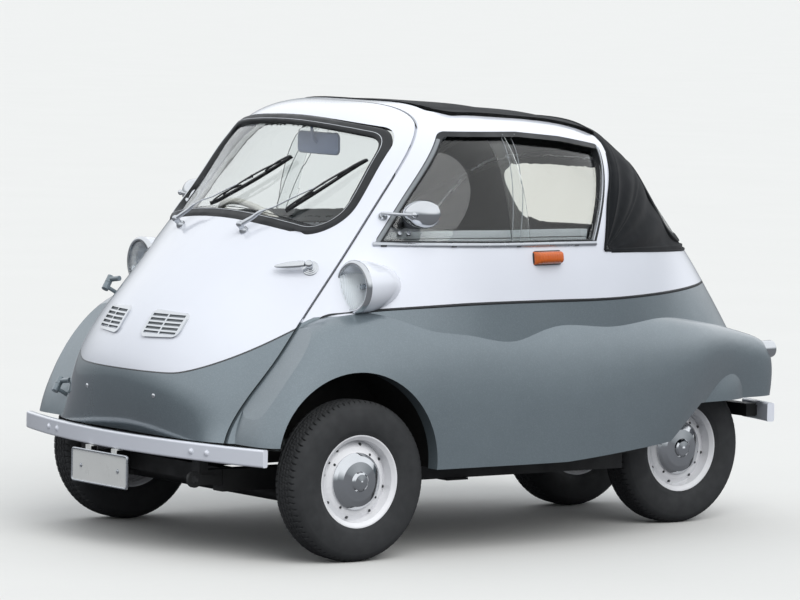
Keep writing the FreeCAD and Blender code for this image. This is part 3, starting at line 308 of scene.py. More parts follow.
def carried(path: Array, up: Array, section: Array, closed: bool = False,
            scale: Array | float = 1.0, finish: int = 0) -> Patch:
    """A section carried along a path, its ends closed.

    Formula: path + side * across + up * height, where side = along x up and up is made
    square to the path at each point.

    Args:
        path: Points of the path.
        up: The section's upward direction, one or one for each point.
        section: Points (across, height).
        closed: Whether the path is a loop.
        scale: Size of the section at each point.
        finish: Index of its finish.

    Returns:
        The surface, a row for each point of the path.
    """
    if closed:
        along = unit(np.roll(path, -1, 0) - np.roll(path, 1, 0))
    else:
        along = unit(np.gradient(path, axis=0))
    up = np.broadcast_to(np.asarray(up, float), path.shape)
    side = unit(np.cross(along, up))
    up = np.cross(side, along)
    size = np.broadcast_to(np.asarray(scale, float), len(path))[:, None, None]
    flat = section[None] * size
    points = path[:, None] + side[:, None] * flat[..., :1] + up[:, None] * flat[..., 1:]
    return Patch(points, ring=True, loop=closed, caps=not closed, finish=finish)


def turned(profile: Places, centre: Array, axis: Sequence[float], count: int = 48,
           loop: bool = False, finish: int = 0) -> Patch:
    """A profile turned about an axis.

    Formula: centre + axis * along + (a cos t + b sin t) * radius, a and b square to the axis.

    Args:
        profile: Points (radius, along).
        centre: The axis's foot.
        axis: The axis's direction.
        count: Points round it.
        loop: Whether the profile's last point joins its first.
        finish: Index of its finish.

    Returns:
        The surface, a row for each point of the profile.
    """
    axis = unit(axis)
    across = unit(np.cross(axis, (0.0, 0.0, 1.0) if abs(axis[2]) < 0.9 else (1.0, 0.0, 0.0)))
    other = np.cross(axis, across)
    turn = np.arange(count) * math.tau / count
    spoke = across * np.cos(turn)[:, None] + other * np.sin(turn)[:, None]
    profile = np.asarray(profile, float)
    points = centre + axis * profile[:, 1, None, None] + spoke[None] * profile[:, 0, None, None]
    return Patch(points, ring=True, loop=loop, finish=finish)


@dataclass
class Skin:
    """The outside of some CAD nodes, onto which paths and grids are dropped.

    Attributes:
        nodes: The nodes' names.
        crack: How many rays to each side may stand in for one that slips through a crack.
        tree: Their faces, made ready for search.
    """

    nodes: Sequence[str]
    crack: int = 3
    tree: BVHTree = field(init=False)

    def __post_init__(self) -> None:
        """Gathers the nodes' faces into one search tree."""
        points, faces = [], []
        for name in self.nodes:
            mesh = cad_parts[name].data
            first = len(points)
            points += [vertex.co.copy() for vertex in mesh.vertices]
            faces += [[first + corner for corner in polygon.vertices] for polygon in mesh.polygons]
        self.tree = BVHTree.FromPolygons(points, faces)

    def drop(self, starts: Array, ways: Array | Sequence[float]) -> Met:
        """Where rays first meet the nodes.

        Args:
            starts: The rays' first points.
            ways: Their directions, one or one for each.

        Returns:
            The places met, and the faces' directions there, turned against the rays. A
            ray that slips through a crack takes the mean of those beside it, and one
            that passes the nodes by gives the nearest place on them to its start.
        """
        ways = unit(np.broadcast_to(np.asarray(ways, float), starts.shape))
        found, facing = np.zeros((2,) + starts.shape)
        met = np.zeros(len(starts), bool)
        for i, (start, way) in enumerate(zip(starts, ways)):
            spot, normal, *_ = self.tree.ray_cast(Vector(start), Vector(way))
            met[i] = spot is not None
            if not met[i]:
                spot, normal, *_ = self.tree.find_nearest(Vector(start))
            found[i], facing[i] = spot, normal if normal.dot(Vector(way)) < 0 else -normal
        for i in np.flatnonzero(~met):
            first = max(i - self.crack, 0)
            before = np.flatnonzero(met[first:i])[-1:]
            after = np.flatnonzero(met[i + 1:i + 1 + self.crack])[:1]
            if len(before) and len(after):
                pair = [first + before[0], i + 1 + after[0]]
                found[i], facing[i] = found[pair].mean(0), unit(facing[pair].mean(0))
        return found, facing

    def from_end(self, flat: Places, way: int = -1) -> Met:
        """Where level rays along the car meet the nodes.

        Args:
            flat: The rays' places (y, z) in millimetres.
            way: -1 for rays from ahead, 1 for rays from behind.

        Returns:
            Points and outward directions, as from drop.
        """
        y, z = np.asarray(flat, float).T
        return self.drop(place(-way * END_RAYS_MM, y, z), (way, 0, 0))

    def from_side(self, flat: Places, side: Side) -> Met:
        """The same for level rays from one side, at places (x, z) in millimetres."""
        x, z = np.asarray(flat, float).T
        return self.drop(place(x, side.value * SIDE_RAYS_MM, z), (0, -side.value, 0))


def make_piece(name: str, patches: Iterable[Patch], finishes: Sequence["Finish"], body: Body = Body.SHELL,
               replaces: Sequence[str] = (), closed: bool = True, sharp: float = 38.0) -> bpy.types.Object:
    """A finished piece: one mesh from patches, at the origin, riding on a body.

    Args:
        name: The piece's name.
        patches: The surfaces that make it.
        finishes: Its finishes, in the order of the patches' indices.
        body: The body that it rides on.
        replaces: CAD nodes that it stands for.
        closed: Whether its surfaces close, so that they are turned to face outwards.
        sharp: Angle in degrees past which an edge is drawn hard.

    Returns:
        The object.
    """
    points, faces, finish, uvs = [], [], [], []
    for patch in patches:
        quads, caps = patch.faces(sum(len(p) for p in points))
        points.append(patch.points.reshape(-1, 3))
        flat = patch.sheet_uv if patch.sheet_uv is not None else np.zeros(patch.points.shape[:2] + (2,))
        uvs.append(flat.reshape(-1, 2))
        faces += quads + caps
        finish += [patch.finish] * (len(quads) + len(caps))
    mesh = bpy.data.meshes.new(name)
    mesh.from_pydata(np.vstack(points).tolist(), [], faces)
    mesh.polygons.foreach_set("material_index", finish)
    corners = np.empty(len(mesh.loops), np.int32)
    mesh.loops.foreach_get("vertex_index", corners)
    layer = mesh.uv_layers.new(name="cut")
    layer.data.foreach_set("uv", np.vstack(uvs)[corners].astype(np.float32).ravel())
    work = bmesh.new()
    work.from_mesh(mesh)
    bmesh.ops.remove_doubles(work, verts=work.verts, dist=2e-6)
    bmesh.ops.dissolve_degenerate(work, edges=work.edges, dist=1e-6)
    if closed:
        bmesh.ops.recalc_face_normals(work, faces=work.faces)
    work.to_mesh(mesh)
    work.free()
    mesh.shade_smooth()
    mesh.set_sharp_from_angle(angle=math.radians(sharp))
    for item in finishes:
        mesh.materials.append(item.material())
    obj = bpy.data.objects.new(name, mesh)
    bpy.context.scene.collection.objects.link(obj)
    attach(obj, body.value)
    if replaces:
        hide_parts(*replaces)
    log.info("%-22s %6d faces on %s", name, len(mesh.polygons), body.value)
    return obj


# ---------------- finishes
def linear(code: str) -> tuple[float, float, float, float]:
    """An sRGB hex colour as linear light.

    Formula: c / 12.92 below 0.04045, else ((c + 0.055) / 1.055) ^ 2.4.

    Args:
        code: Six hex digits after a hash.

    Returns:
        Red, green, blue and 1.
    """
    share = np.array([int(code[k:k + 2], 16) for k in (1, 3, 5)]) / 255
    light = np.where(share < 0.04045, share / 12.92, ((share + 0.055) / 1.055) ** 2.4)
    return (*light.tolist(), 1.0)


def per_metre(spacing_mm: float) -> float:
    """The texture scale whose features lie that far apart."""
    return 1000.0 / spacing_mm


CHOICES = {"Math": "operation", "Mix": "data_type", "MapRange": "interpolation_type"}


def add_node(tree: Tree, kind: str, settings: dict[str, object] | str = "",
             **inputs: object) -> bpy.types.Node:
    """Adds a shader node.

    Args:
        tree: The material's nodes.
        kind: Node type without its ShaderNode prefix.
        settings: Properties of the node, or only the one that CHOICES gives for its kind.
        **inputs: Values, sockets, or nodes for their first socket, by the input's name
            with _ for a space, or by its number as i0, i1 and so on.

    Returns:
        The node.
    """
    node = tree.nodes.new("ShaderNode" + kind)
    if isinstance(settings, str):
        settings = {CHOICES[kind]: settings} if settings else {}
    for key, value in settings.items():
        setattr(node, key, value)
    for key, value in inputs.items():
        number = key[1:] if key[0] == "i" and key[1:].isdigit() else None
        socket = node.inputs[int(number)] if number else node.inputs[key.replace("_", " ")]
        if isinstance(value, (Socket, bpy.types.Node)):
            tree.links.new(value if isinstance(value, Socket) else value.outputs[0], socket)
        else:
            socket.default_value = value
    return node


MADE: dict["Finish", bpy.types.Material] = {}


@dataclass(frozen=True)
class Finish:
    """A solid finish: two close colours in soft patches, a fine relief, a varied gloss.

    Attributes:
        name: What the material is.
        slot: The record's slot that it stands for; not used.
        shade: Its colour.
        drift: The colour that it drifts to in patches.
        patch_mm: Size of those patches.
        rough: Lowest and highest roughness.
        grain_mm: Spacing of the relief.
        relief_mm: Height of the relief.
        metallic: 1 for a bare metal.
        coat: Share of clear coat.
        sheen: Share of cloth sheen.
        ior: Index of refraction, for what isn't a metal.
    """

    name: str
    slot: str
    shade: str
    drift: str
    patch_mm: float = 160.0
    rough: Pair = (0.35, 0.45)
    grain_mm: float = 1.5
    relief_mm: float = 0.02
    metallic: float = 0.0
    coat: float = 0.0
    sheen: float = 0.0
    ior: float = 1.5

    def material(self) -> bpy.types.Material:
        """The finish's material, made once."""
        if self not in MADE:
            made = bpy.data.materials.new(self.name)
            made.use_nodes = True
            tree = made.node_tree
            tree.nodes.clear()
            spot = add_node(tree, "TexCoord").outputs["Object"]
            out = add_node(tree, "OutputMaterial")
            tree.links.new(self.surface(tree, spot), out.inputs["Surface"])
            MADE[self] = made
        return MADE[self]

    def colour(self, tree: Tree, spot: Socket) -> Socket:
        """The colour over the surface.

        Formula: shade mixed with drift by a soft noise of the patch's size.

        Args:
            tree: The material's nodes.
            spot: Coordinates on the piece.

        Returns:
            A colour socket.
        """
        cloud = add_node(tree, "TexNoise", Vector=spot, Scale=per_metre(self.patch_mm), Detail=3.0)
        return add_node(tree, "Mix", "RGBA", i0=cloud.outputs["Fac"], i6=linear(self.shade),
                        i7=linear(self.drift)).outputs[2]

    def height(self, tree: Tree, spot: Socket) -> Socket:
        """The relief over the surface: noise at the grain's spacing."""
        return add_node(tree, "TexNoise", Vector=spot, Scale=per_metre(self.grain_mm),
                        Detail=2.0).outputs["Fac"]

    def gloss(self, tree: Tree, spot: Socket) -> Socket:
        """The roughness over the surface: its range, spread by a noise of 45 mm."""
        cloud = add_node(tree, "TexNoise", Vector=spot, Scale=per_metre(45.0), Detail=5.0)
        return add_node(tree, "MapRange", i0=cloud.outputs["Fac"], i1=0.3, i2=0.7, i3=self.rough[0],
                        i4=self.rough[1]).outputs[0]

    def surface(self, tree: Tree, spot: Socket) -> Socket:
        """The shader, from the colour, the gloss and the relief.

        Args:
            tree: The material's nodes.
            spot: Coordinates on the piece.

        Returns:
            The shader socket.
        """
        bump = add_node(tree, "Bump", Strength=1.0, Distance=self.relief_mm / 1000,
                        Height=self.height(tree, spot))
        return add_node(tree, "BsdfPrincipled", Base_Color=self.colour(tree, spot), Metallic=self.metallic,
                        Roughness=self.gloss(tree, spot), Normal=bump, IOR=self.ior,
                        Coat_Weight=self.coat, Sheen_Weight=self.sheen).outputs[0]


@dataclass(frozen=True)
class FlakePaint(Finish):
    """Metallic car enamel: fine bright flakes under a clear coat.

    Attributes:
        flake: The flakes' colour.
        flake_mm: Their spacing, coarser than the real 0.1 mm so that they show.
    """

    flake: str = "#aab4b8"
    flake_mm: float = 2.2

    def colour(self, tree: Tree, spot: Socket) -> Socket:
        """The paint's colour, with a random share of each small cell in the flake's colour."""
        base = super().colour(tree, spot)
        cell = add_node(tree, "TexVoronoi", Vector=spot, Scale=per_metre(self.flake_mm))
        share = add_node(tree, "MapRange", i0=cell.outputs["Color"], i1=0.5, i2=1.0, i3=0.0, i4=0.16)
        return add_node(tree, "Mix", "RGBA", i0=share, i6=base, i7=linear(self.flake)).outputs[2]


@dataclass(frozen=True)
class TwoTone(Finish):
    """The door's enamel: one paint above a swept line and another below it.

    The line's height is base + slope (t + sqrt(t t + bend)), t being metres behind the
    nose, held within span.

    Attributes:
        low_paint: The paint below the line.
        nose: The x that t is counted back from, metres.
        span: Lowest and highest t.
        bend: Square of the length, in metres, over which the line turns upwards.
        slope: Half the line's slope aft of the nose.
        base: The line's height ahead of it.
        edge: Half the width of the dark line between the paints.
    """

    low_paint: FlakePaint | None = None
    nose: float = 1.088
    span: Pair = (-0.034, 0.366)
    bend: float = 0.000144
    slope: float = 0.2725
    base: float = 0.5332
    edge: float = 0.0021

    def under(self, tree: Tree, spot: Socket) -> Socket:
        """How far below the line, in metres."""
        part = add_node(tree, "SeparateXYZ", Vector=spot)
        back = add_node(tree, "Math", "SUBTRACT", i0=self.nose, i1=part)
        t = add_node(tree, "Clamp", Value=back, Min=self.span[0], Max=self.span[1]).outputs[0]
        square = add_node(tree, "Math", "MULTIPLY_ADD", i0=t, i1=t, i2=self.bend)
        root = add_node(tree, "Math", "SQRT", i0=square)
        rise = add_node(tree, "Math", "ADD", i0=t, i1=root)
        line = add_node(tree, "Math", "MULTIPLY_ADD", i0=rise, i1=self.slope, i2=self.base)
        return add_node(tree, "Math", "SUBTRACT", i0=line, i1=part.outputs[2]).outputs[0]

    def below(self, tree: Tree, spot: Socket) -> Socket:
        """1 below the line and 0 above it, over a 1 mm step."""
        return add_node(tree, "MapRange", i0=self.under(tree, spot), i1=-0.0005, i2=0.0005).outputs[0]

    def colour(self, tree: Tree, spot: Socket) -> Socket:
        """The upper paint's colour above the line, the lower paint's below it, and a dark line between."""
        both = add_node(tree, "Mix", "RGBA", i0=self.below(tree, spot),
                        i6=super().colour(tree, spot), i7=self.low_paint.colour(tree, spot)).outputs[2]
        edge = add_node(tree, "Math", "COMPARE", i0=self.under(tree, spot), i1=0.0, i2=self.edge)
        return add_node(tree, "Mix", "RGBA", i0=edge, i6=both, i7=linear("#2b2e31")).outputs[2]

    def surface(self, tree: Tree, spot: Socket) -> Socket:
        """The enamel's shader, its metallic share following the line."""
        shader = super().surface(tree, spot)
        share = add_node(tree, "Math", "MULTIPLY", i0=self.below(tree, spot), i1=self.low_paint.metallic)
        tree.links.new(share.outputs[0], shader.node.inputs["Metallic"])
        return shader


@dataclass(frozen=True)
class EdgedSeal(Finish):
    """Underseal that gives way to the wings' enamel on the housings' foremost outer edges.

    Attributes:
        edge: The enamel.
        ahead: The x past which it starts, metres.
        wide: The distance from the middle plane past which it starts.
    """

    edge: FlakePaint | None = None
    ahead: float = 0.955
    wide: float = 0.6

    def surface(self, tree: Tree, spot: Socket) -> Socket:
        """The underseal's shader, and the enamel's past both limits."""
        part = add_node(tree, "SeparateXYZ", Vector=spot)
        out = add_node(tree, "Math", "ABSOLUTE", i0=part.outputs[1])
        wide = add_node(tree, "Math", "GREATER_THAN", i0=out, i1=self.wide)
        front = add_node(tree, "Math", "GREATER_THAN", i0=part, i1=self.ahead)
        share = add_node(tree, "Math", "MULTIPLY", i0=wide, i1=front)
        return add_node(tree, "MixShader", i0=share, i1=super().surface(tree, spot),
                        i2=self.edge.surface(tree, spot)).outputs[0]


@dataclass(frozen=True)
class Clear(Finish):
    """Clear glass or plastic in a closed pane; rays from lamps pass straight through."""

    flutes_mm: float = 0.0

    def height(self, tree: Tree, spot: Socket) -> Socket:
        """Flat with a slow waviness, or upright flutes at their spacing."""
        if not self.flutes_mm:
            return super().height(tree, spot)
        across = add_node(tree, "SeparateXYZ", Vector=spot).outputs[1]
        turn = add_node(tree, "Math", "MULTIPLY", i0=across, i1=math.tau * per_metre(self.flutes_mm))
        return add_node(tree, "Math", "SINE", i0=turn).outputs[0]

    def surface(self, tree: Tree, spot: Socket) -> Socket:
        """Refracting glass for what is seen, plain transparency for shadows."""
        glass = super().surface(tree, spot)
        glass.node.inputs["Transmission Weight"].default_value = 1.0
        shadow = add_node(tree, "LightPath").outputs["Is Shadow Ray"]
        clear = add_node(tree, "BsdfTransparent", Color=linear(self.shade))
        return add_node(tree, "MixShader", i0=shadow, i1=glass, i2=clear).outputs[0]


@dataclass(frozen=True)
class Woven(Finish):
    """Plain-woven cloth: threads across and along, seen as a small relief, with painted shade between the
    threads and a painted highlight on them.

    Attributes:
        thread_mm: Thread spacing, drawn coarser than the real 0.4 mm so that it shows.
    """

    thread_mm: float = 1.6

    def weave(self, tree: Tree) -> Socket:
        """The product of two sine waves along the cloth's own directions."""
        part = add_node(tree, "SeparateXYZ", Vector=add_node(tree, "TexCoord").outputs["UV"])
        waves = []
        for k in (0, 1):
            turn = add_node(tree, "Math", "MULTIPLY", i0=part.outputs[k],
                            i1=math.pi * per_metre(self.thread_mm))
            waves.append(add_node(tree, "Math", "SINE", i0=turn).outputs[0])
        both = add_node(tree, "Math", "MULTIPLY", i0=waves[0], i1=waves[1])
        return add_node(tree, "MapRange", i0=both, i1=-1.0, i2=1.0).outputs[0]

    def colour(self, tree: Tree, spot: Socket) -> Socket:
        """The cloth's colour with painted shade between the threads and a painted highlight on their crests.
        """
        # Painted shade and highlight: the weave scales the colour from 0.72 in the gaps to 1.12 on the
        # crests.
        dark = add_node(tree, "MapRange", i0=self.weave(tree), i3=0.72, i4=1.12).outputs[0]
        return add_node(tree, "Mix", {"data_type": "RGBA", "blend_type": "MULTIPLY"}, i0=1.0,
                        i6=super().colour(tree, spot), i7=dark).outputs[2]

    def height(self, tree: Tree, spot: Socket) -> Socket:
        """The threads' relief."""
        return self.weave(tree)


@dataclass(frozen=True)
class Brushed(Finish):
    """Metal rubbed along its length: the relief is drawn out along X."""

    def height(self, tree: Tree, spot: Socket) -> Socket:
        """Noise stretched forty times along the car."""
        drawn = add_node(tree, "Mapping", Vector=spot, Scale=(0.025, 1.0, 1.0))
        return add_node(tree, "TexNoise", Vector=drawn, Scale=per_metre(self.grain_mm),
                        Detail=2.0).outputs["Fac"]


def seen_ray(tree: Tree) -> Socket:
    """1 for a ray from the camera, straight or through glass."""
    ray = add_node(tree, "LightPath")
    return add_node(tree, "Math", "MAXIMUM", i0=ray.outputs["Is Camera Ray"],
                    i1=ray.outputs["Is Transmission Ray"]).outputs[0]


@dataclass(frozen=True)
class FloorFinish(Finish):
    """The floor: pale to the camera, also through glass; darker in the light that it throws back."""

    thrown: str = "#76777a"

    def surface(self, tree: Tree, spot: Socket) -> Socket:
        """The finish for what is seen, a darker matt one for bounced light."""
        dark = add_node(tree, "BsdfDiffuse", Color=linear(self.thrown))
        return add_node(tree, "MixShader", i0=seen_ray(tree), i1=dark,
                        i2=super().surface(tree, spot)).outputs[0]


# Stoved enamel, cool white: even, deep gloss, a trace of orange peel.
WHITE = Finish("cool_white_enamel", "white_enamel", "#e3e7ef", "#dcdfe7", 240, (0.16, 0.24), 3.0, 0.012,
               coat=1.0)
# Metallic enamel, grey with a green cast: soft dark-to-light travel over curves.
GREY = FlakePaint("grey_green_metallic", "grey_enamel", "#78848a", "#6c777d", 260, (0.3, 0.38), 3.0,
                  0.012, metallic=0.45, coat=1.0)
# The door wears both enamels.
DOOR_PAINT = TwoTone("two_tone_door_enamel", "white_enamel", "#e3e7ef", "#dcdfe7", 240, (0.16, 0.24), 3.0,
                     0.012, coat=1.0, low_paint=GREY)
# Bright chromium plate on brass: dark and white reflections, faint haze.
CHROME = Finish("chromium_plate", "chrome_plate", "#d9dbdd", "#c9cccf", 60, (0.05, 0.11), 2.0, 0.004,
                metallic=1.0)
# Chassis paint, brushed on: satin black with dust in it.
BLACK = Finish("black_chassis_paint", "black_paint", "#1b1c1e", "#2a2a29", 90, (0.45, 0.7), 2.5, 0.12)
# Sprayed bitumen under the wings: matt, lumpy.
UNDERSEAL = EdgedSeal("bitumen_underseal", "black_paint", "#161616", "#22211f", 70, (0.7, 0.9), 4.0, 0.5,
                      edge=GREY)
# Moulded EPDM rubber round the glass: dull black, bloomed grey in places.
RUBBER = Finish("moulded_black_rubber", "seal_rubber", "#17181a", "#242628", 50, (0.42, 0.6), 0.8, 0.03,
                ior=1.52)
# Tyre rubber: warm black, drifting to grey in patches.
TYRE = Finish("tyre_rubber", "tyre_rubber", "#2a2b2c", "#38393a", 30, (0.66, 0.86), 1.2, 0.1, ior=1.52)
# Wheel enamel: white, harder and flatter than the body's.
RIM = Finish("white_wheel_enamel", "rim_white", "#e9e9eb", "#dfe0e2", 60, (0.25, 0.36), 2.0, 0.02, coat=0.5)
# Float glass: clear, a hint of green.
GLASS = Clear("clear_float_glass", "clear_glass", "#f8fafa", "#f5f8f8", 300, (0.0, 0.01), 200.0, 0.01,
              ior=1.45)
# Pressed headlamp glass: clear, upright flutes.
LENS = Clear("fluted_lamp_glass", "clear_glass", "#f6f8f8", "#eef2f2", 60, (0.0, 0.02), 2.0, 0.12,
             ior=1.45, flutes_mm=9.0)
# Flexible clear sheet of the top's window: slightly yellow and rippled.
VINYL_PANE = Clear("clear_vinyl_sheet", "clear_glass", "#f7f5ee", "#f0eee6", 120, (0.04, 0.1), 90.0, 0.5,
                   ior=1.45)
# Drawn aluminium channel round the side glass.
ALLOY = Brushed("drawn_aluminium", "rail_alloy", "#cfd2d6", "#bfc3c7", 40, (0.22, 0.36), 0.5, 0.01,
                metallic=1.0)
# Double-texture hood cloth: near black, soft bloom on the folds.
HOOD_CLOTH = Woven("double_texture_hood_cloth", "hood_cloth", "#141618", "#1b1d20", 130, (0.8, 0.95), 1.5,
                   0.14, sheen=0.08, ior=1.3)
# Leathercloth on the bench: mid grey, fine grain.
LEATHERCLOTH = Finish("grey_leathercloth", "seat_vinyl", "#6d7378", "#60666b", 140, (0.42, 0.56), 1.8, 0.16)
# Cast acrylic of the side indicators and tail lamps.
AMBER = Finish("amber_acrylic", "amber_lens", "#d2671c", "#b95413", 20, (0.1, 0.2), 1.0, 0.02, coat=0.6)
RED = Finish("red_acrylic", "red_lens", "#a3131a", "#870d14", 20, (0.1, 0.2), 1.0, 0.02, coat=0.6)
# Moulded thermoplastic: dash, knobs, steering wheel rim.
PLASTIC = Finish("grey_moulded_plastic", "grey_plastic", "#c9c8c2", "#bdbcb5", 60, (0.3, 0.42), 1.2, 0.05)
BLACK_PLASTIC = Finish("black_moulded_plastic", "grey_plastic", "#1d1e20", "#27282a", 50, (0.35, 0.5),
                       1.2, 0.06)
# Painted back of the inner mirror: blue grey.
MIRROR_BACK = Finish("blue_grey_paint", "grey_plastic", "#8493b4", "#7a88a8", 80, (0.3, 0.4), 2.0, 0.02)
# Vacuum-silvered bowl behind the lamp glass, and the mirrors' silvering.
SILVER = Finish("silvered_reflector", "chrome_plate", "#b4bac4", "#a4aab4", 40, (0.06, 0.12), 3.0, 0.01,
                metallic=1.0)
# Painted number board, bare.
BOARD = Finish("plate_enamel", "white_enamel", "#e6e7e4", "#dadbd8", 80, (0.25, 0.35), 2.0, 0.02, coat=0.4)
# Trim board and painted steel inside the cab.
TRIM = Finish("grey_trim_board", "grey_plastic", "#8a8f92", "#7c8184", 120, (0.55, 0.7), 1.5, 0.08)
# Cast iron and alloy of the engine, oily.
CASTING = Finish("engine_casting", "black_paint", "#5b5d5e", "#3f4142", 50, (0.4, 0.65), 3.0, 0.3,
                 metallic=0.7)


# ---------------- studio and camera
@dataclass
class Viewpoint:
    """The camera: a long lens at standing height, ahead and to the left of the car."""

    stand: Spot = (9.1634, 12.2847, 1.8301)
    yaw: float = 53.536         # degrees that the view is turned from -X towards -Y
    pitch: float = 4.203        # degrees down
    roll: float = 1.203
    lens: float = 222.766       # on a 36 mm wide sensor

    def build(self) -> None:
        """Makes the camera and sets it as the scene's own."""
        yaw, pitch, roll = (math.radians(v) for v in (self.yaw, self.pitch, self.roll))
        look = Vector((-math.cos(yaw) * math.cos(pitch), -math.sin(yaw) * math.cos(pitch), -math.sin(pitch)))
        level = Vector((-math.sin(yaw), math.cos(yaw), 0))
        over = level.cross(look)
        right = math.cos(roll) * level + math.sin(roll) * over
        up = right.cross(look)
        data = bpy.data.cameras.new("view")
        data.lens, data.sensor_width, data.clip_end = self.lens, 36.0, 2000.0
        camera = bpy.data.objects.new("view", data)
        bpy.context.scene.collection.objects.link(camera)
        turn = Matrix((right, up, -look)).transposed().to_4x4()
        camera.matrix_world = Matrix.Translation(self.stand) @ turn
        bpy.context.scene.camera = camera


@dataclass
class Studio:
    """A plain pale floor under a soft sky, with one broad lamp high at the front left."""

    floor_radius: float = 500.0
    lamp_turn: Spot = (48.0, 0.0, 168.0)
    lamp_power: float = 1.95
    lamp_spread: float = 50.0
    sky_level: float = 0.98
    mirrored_level: float = 1.25
    backdrop: str = "#dcdcd9"

    def floor(self) -> None:
        """The floor: rings of points whose radius grows by a power, so that they are close near the car."""
        radius = np.linspace(0, 1, 40)[:, None] ** 4 * self.floor_radius
        turn = np.arange(96)[None] * math.tau / 96
        points = np.stack((radius * np.cos(turn), radius * np.sin(turn), np.zeros((40, 96))), -1)
        finish = FloorFinish("pale_cast_floor", "", self.backdrop, "#d8d8d5", 900, (0.75, 0.9), 6.0, 0.05)
        floor = make_piece("floor", [Patch(points, ring=True)], [finish], closed=False)
        floor.parent = None

    def sky(self) -> None:
        """The world: brighter overhead than at the horizon, darker low down in reflections, pale to see."""
        world = bpy.data.worlds.new("soft_sky")
        world.use_nodes = True
        tree = world.node_tree
        tree.nodes.clear()
        way = add_node(tree, "TexCoord").outputs["Generated"]
        rise = add_node(tree, "SeparateXYZ", Vector=way).outputs[2]
        share = add_node(tree, "MapRange", "SMOOTHSTEP", i0=rise, i1=-0.05, i2=0.8)
        sky = add_node(tree, "Mix", "RGBA", i0=share, i6=linear("#b9bcc0"), i7=linear("#f4f7fb"))
        low = add_node(tree, "MapRange", "SMOOTHSTEP", i0=rise, i1=-0.02, i2=0.34)
        mirrored = add_node(tree, "Mix", "RGBA", i0=low, i6=linear("#83888c"), i7=linear("#f4f7fb"))
        soft = add_node(tree, "Background", Color=sky.outputs[2], Strength=self.sky_level)
        glossy = add_node(tree, "Background", Color=mirrored.outputs[2], Strength=self.mirrored_level)
        lit = add_node(tree, "MixShader", i0=add_node(tree, "LightPath").outputs["Is Glossy Ray"],
                       i1=soft, i2=glossy)
        seen = add_node(tree, "Background", Color=linear(self.backdrop), Strength=1.0)
        mix = add_node(tree, "MixShader", i0=seen_ray(tree), i1=lit, i2=seen)
        tree.links.new(mix.outputs[0], add_node(tree, "OutputWorld").inputs["Surface"])
        bpy.context.scene.world = world

    def lamp(self) -> None:
        """The broad lamp, far away; it isn't mirrored in the paint, which keeps the sky's soft edges."""
        data = bpy.data.lights.new("broad_lamp", "SUN")
        data.energy, data.angle = self.lamp_power, math.radians(self.lamp_spread)
        lamp = bpy.data.objects.new("broad_lamp", data)
        lamp.visible_glossy = False
        lamp.rotation_euler = [math.radians(v) for v in self.lamp_turn]
        bpy.context.scene.collection.objects.link(lamp)

    def build(self) -> None:
        """Makes the floor, the sky and the lamp."""
        self.floor()
        self.sky()
        self.lamp()
        bpy.context.scene.view_settings.view_transform = "Standard"


# ---------------- bodywork
@dataclass
class Bodywork:
    """The CAD nodes' finishes, and the beads along the waist.

    Attributes:
        waist: The beads' line in side view (x, z), millimetres.
        paints: The nodes of each finish.
    """

    waist: tuple[Pair, ...] = ((893, 675), (823, 711), (722, 726), (622, 736), (437, 744),
                                              (253, 749), (54, 748), (-144, 746), (-352, 748), (-560, 752),
                                              (-700, 760), (-800, 767))
    paints: dict[Finish, str] = field(default_factory=lambda: {
        WHITE: "left_upper_side right_upper_side roof_header rear_deck front_bumper rear_bumpers "
               "headlights",
        GREY: "left_wing right_wing tail_panel hinge_brackets door_hinges",
        DOOR_PAINT: "door_shell",
        BOARD: "number_plate",
        BLACK: "chassis_frame rear_subframe floor_pan front_axle rear_suspension rear_axle left_knuckle "
               "right_knuckle seat_frame wipers",
        UNDERSEAL: "wheel_housings",
        TRIM: "rear_bulkhead",
        CASTING: "engine_block",
        BLACK_PLASTIC: "gear_lever steering_column",
        PLASTIC: "steering_wheel",
        CHROME: "door_vents side_mirrors door_handle front_left_hubcap front_right_hubcap rear_hubcaps",
        GLASS: "windscreen side_glass",
        VINYL_PANE: "rear_window",
        RUBBER: "window_rails windscreen_seal",
        HOOD_CLOTH: "soft_top",
        LEATHERCLOTH: "seat_cushion seat_backrest",
        AMBER: "side_indicators",
        RED: "tail_lamps",
        TYRE: "front_left_tyre front_right_tyre rear_tyres",
        RIM: "front_left_rim front_right_rim rear_rims"})

    def dress(self) -> None:
        """Gives every CAD node its finish."""
        for finish, names in self.paints.items():
            for name in names.split():
                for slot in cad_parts[name].material_slots:
                    slot.material = finish.material()

    def side_bead(self, side: Side) -> Patch:
        """The thin black bead between the white and the grey, run along the body's side.

        Args:
            side: Which side of the car.

        Returns:
            The strip's surface.
        """
        path, up = smoothed(*BODY_SKIN.from_side(curve_through(self.waist, 60), side), (2, 6), 260)
        return carried(path, up, bump_section(0.0085, 0.0028, 0.003, 9))

    def build(self) -> None:
        """Dresses the panels and makes the beads."""
        self.dress()
        make_piece("waist_beads", [self.side_bead(side) for side in Side], [RUBBER])


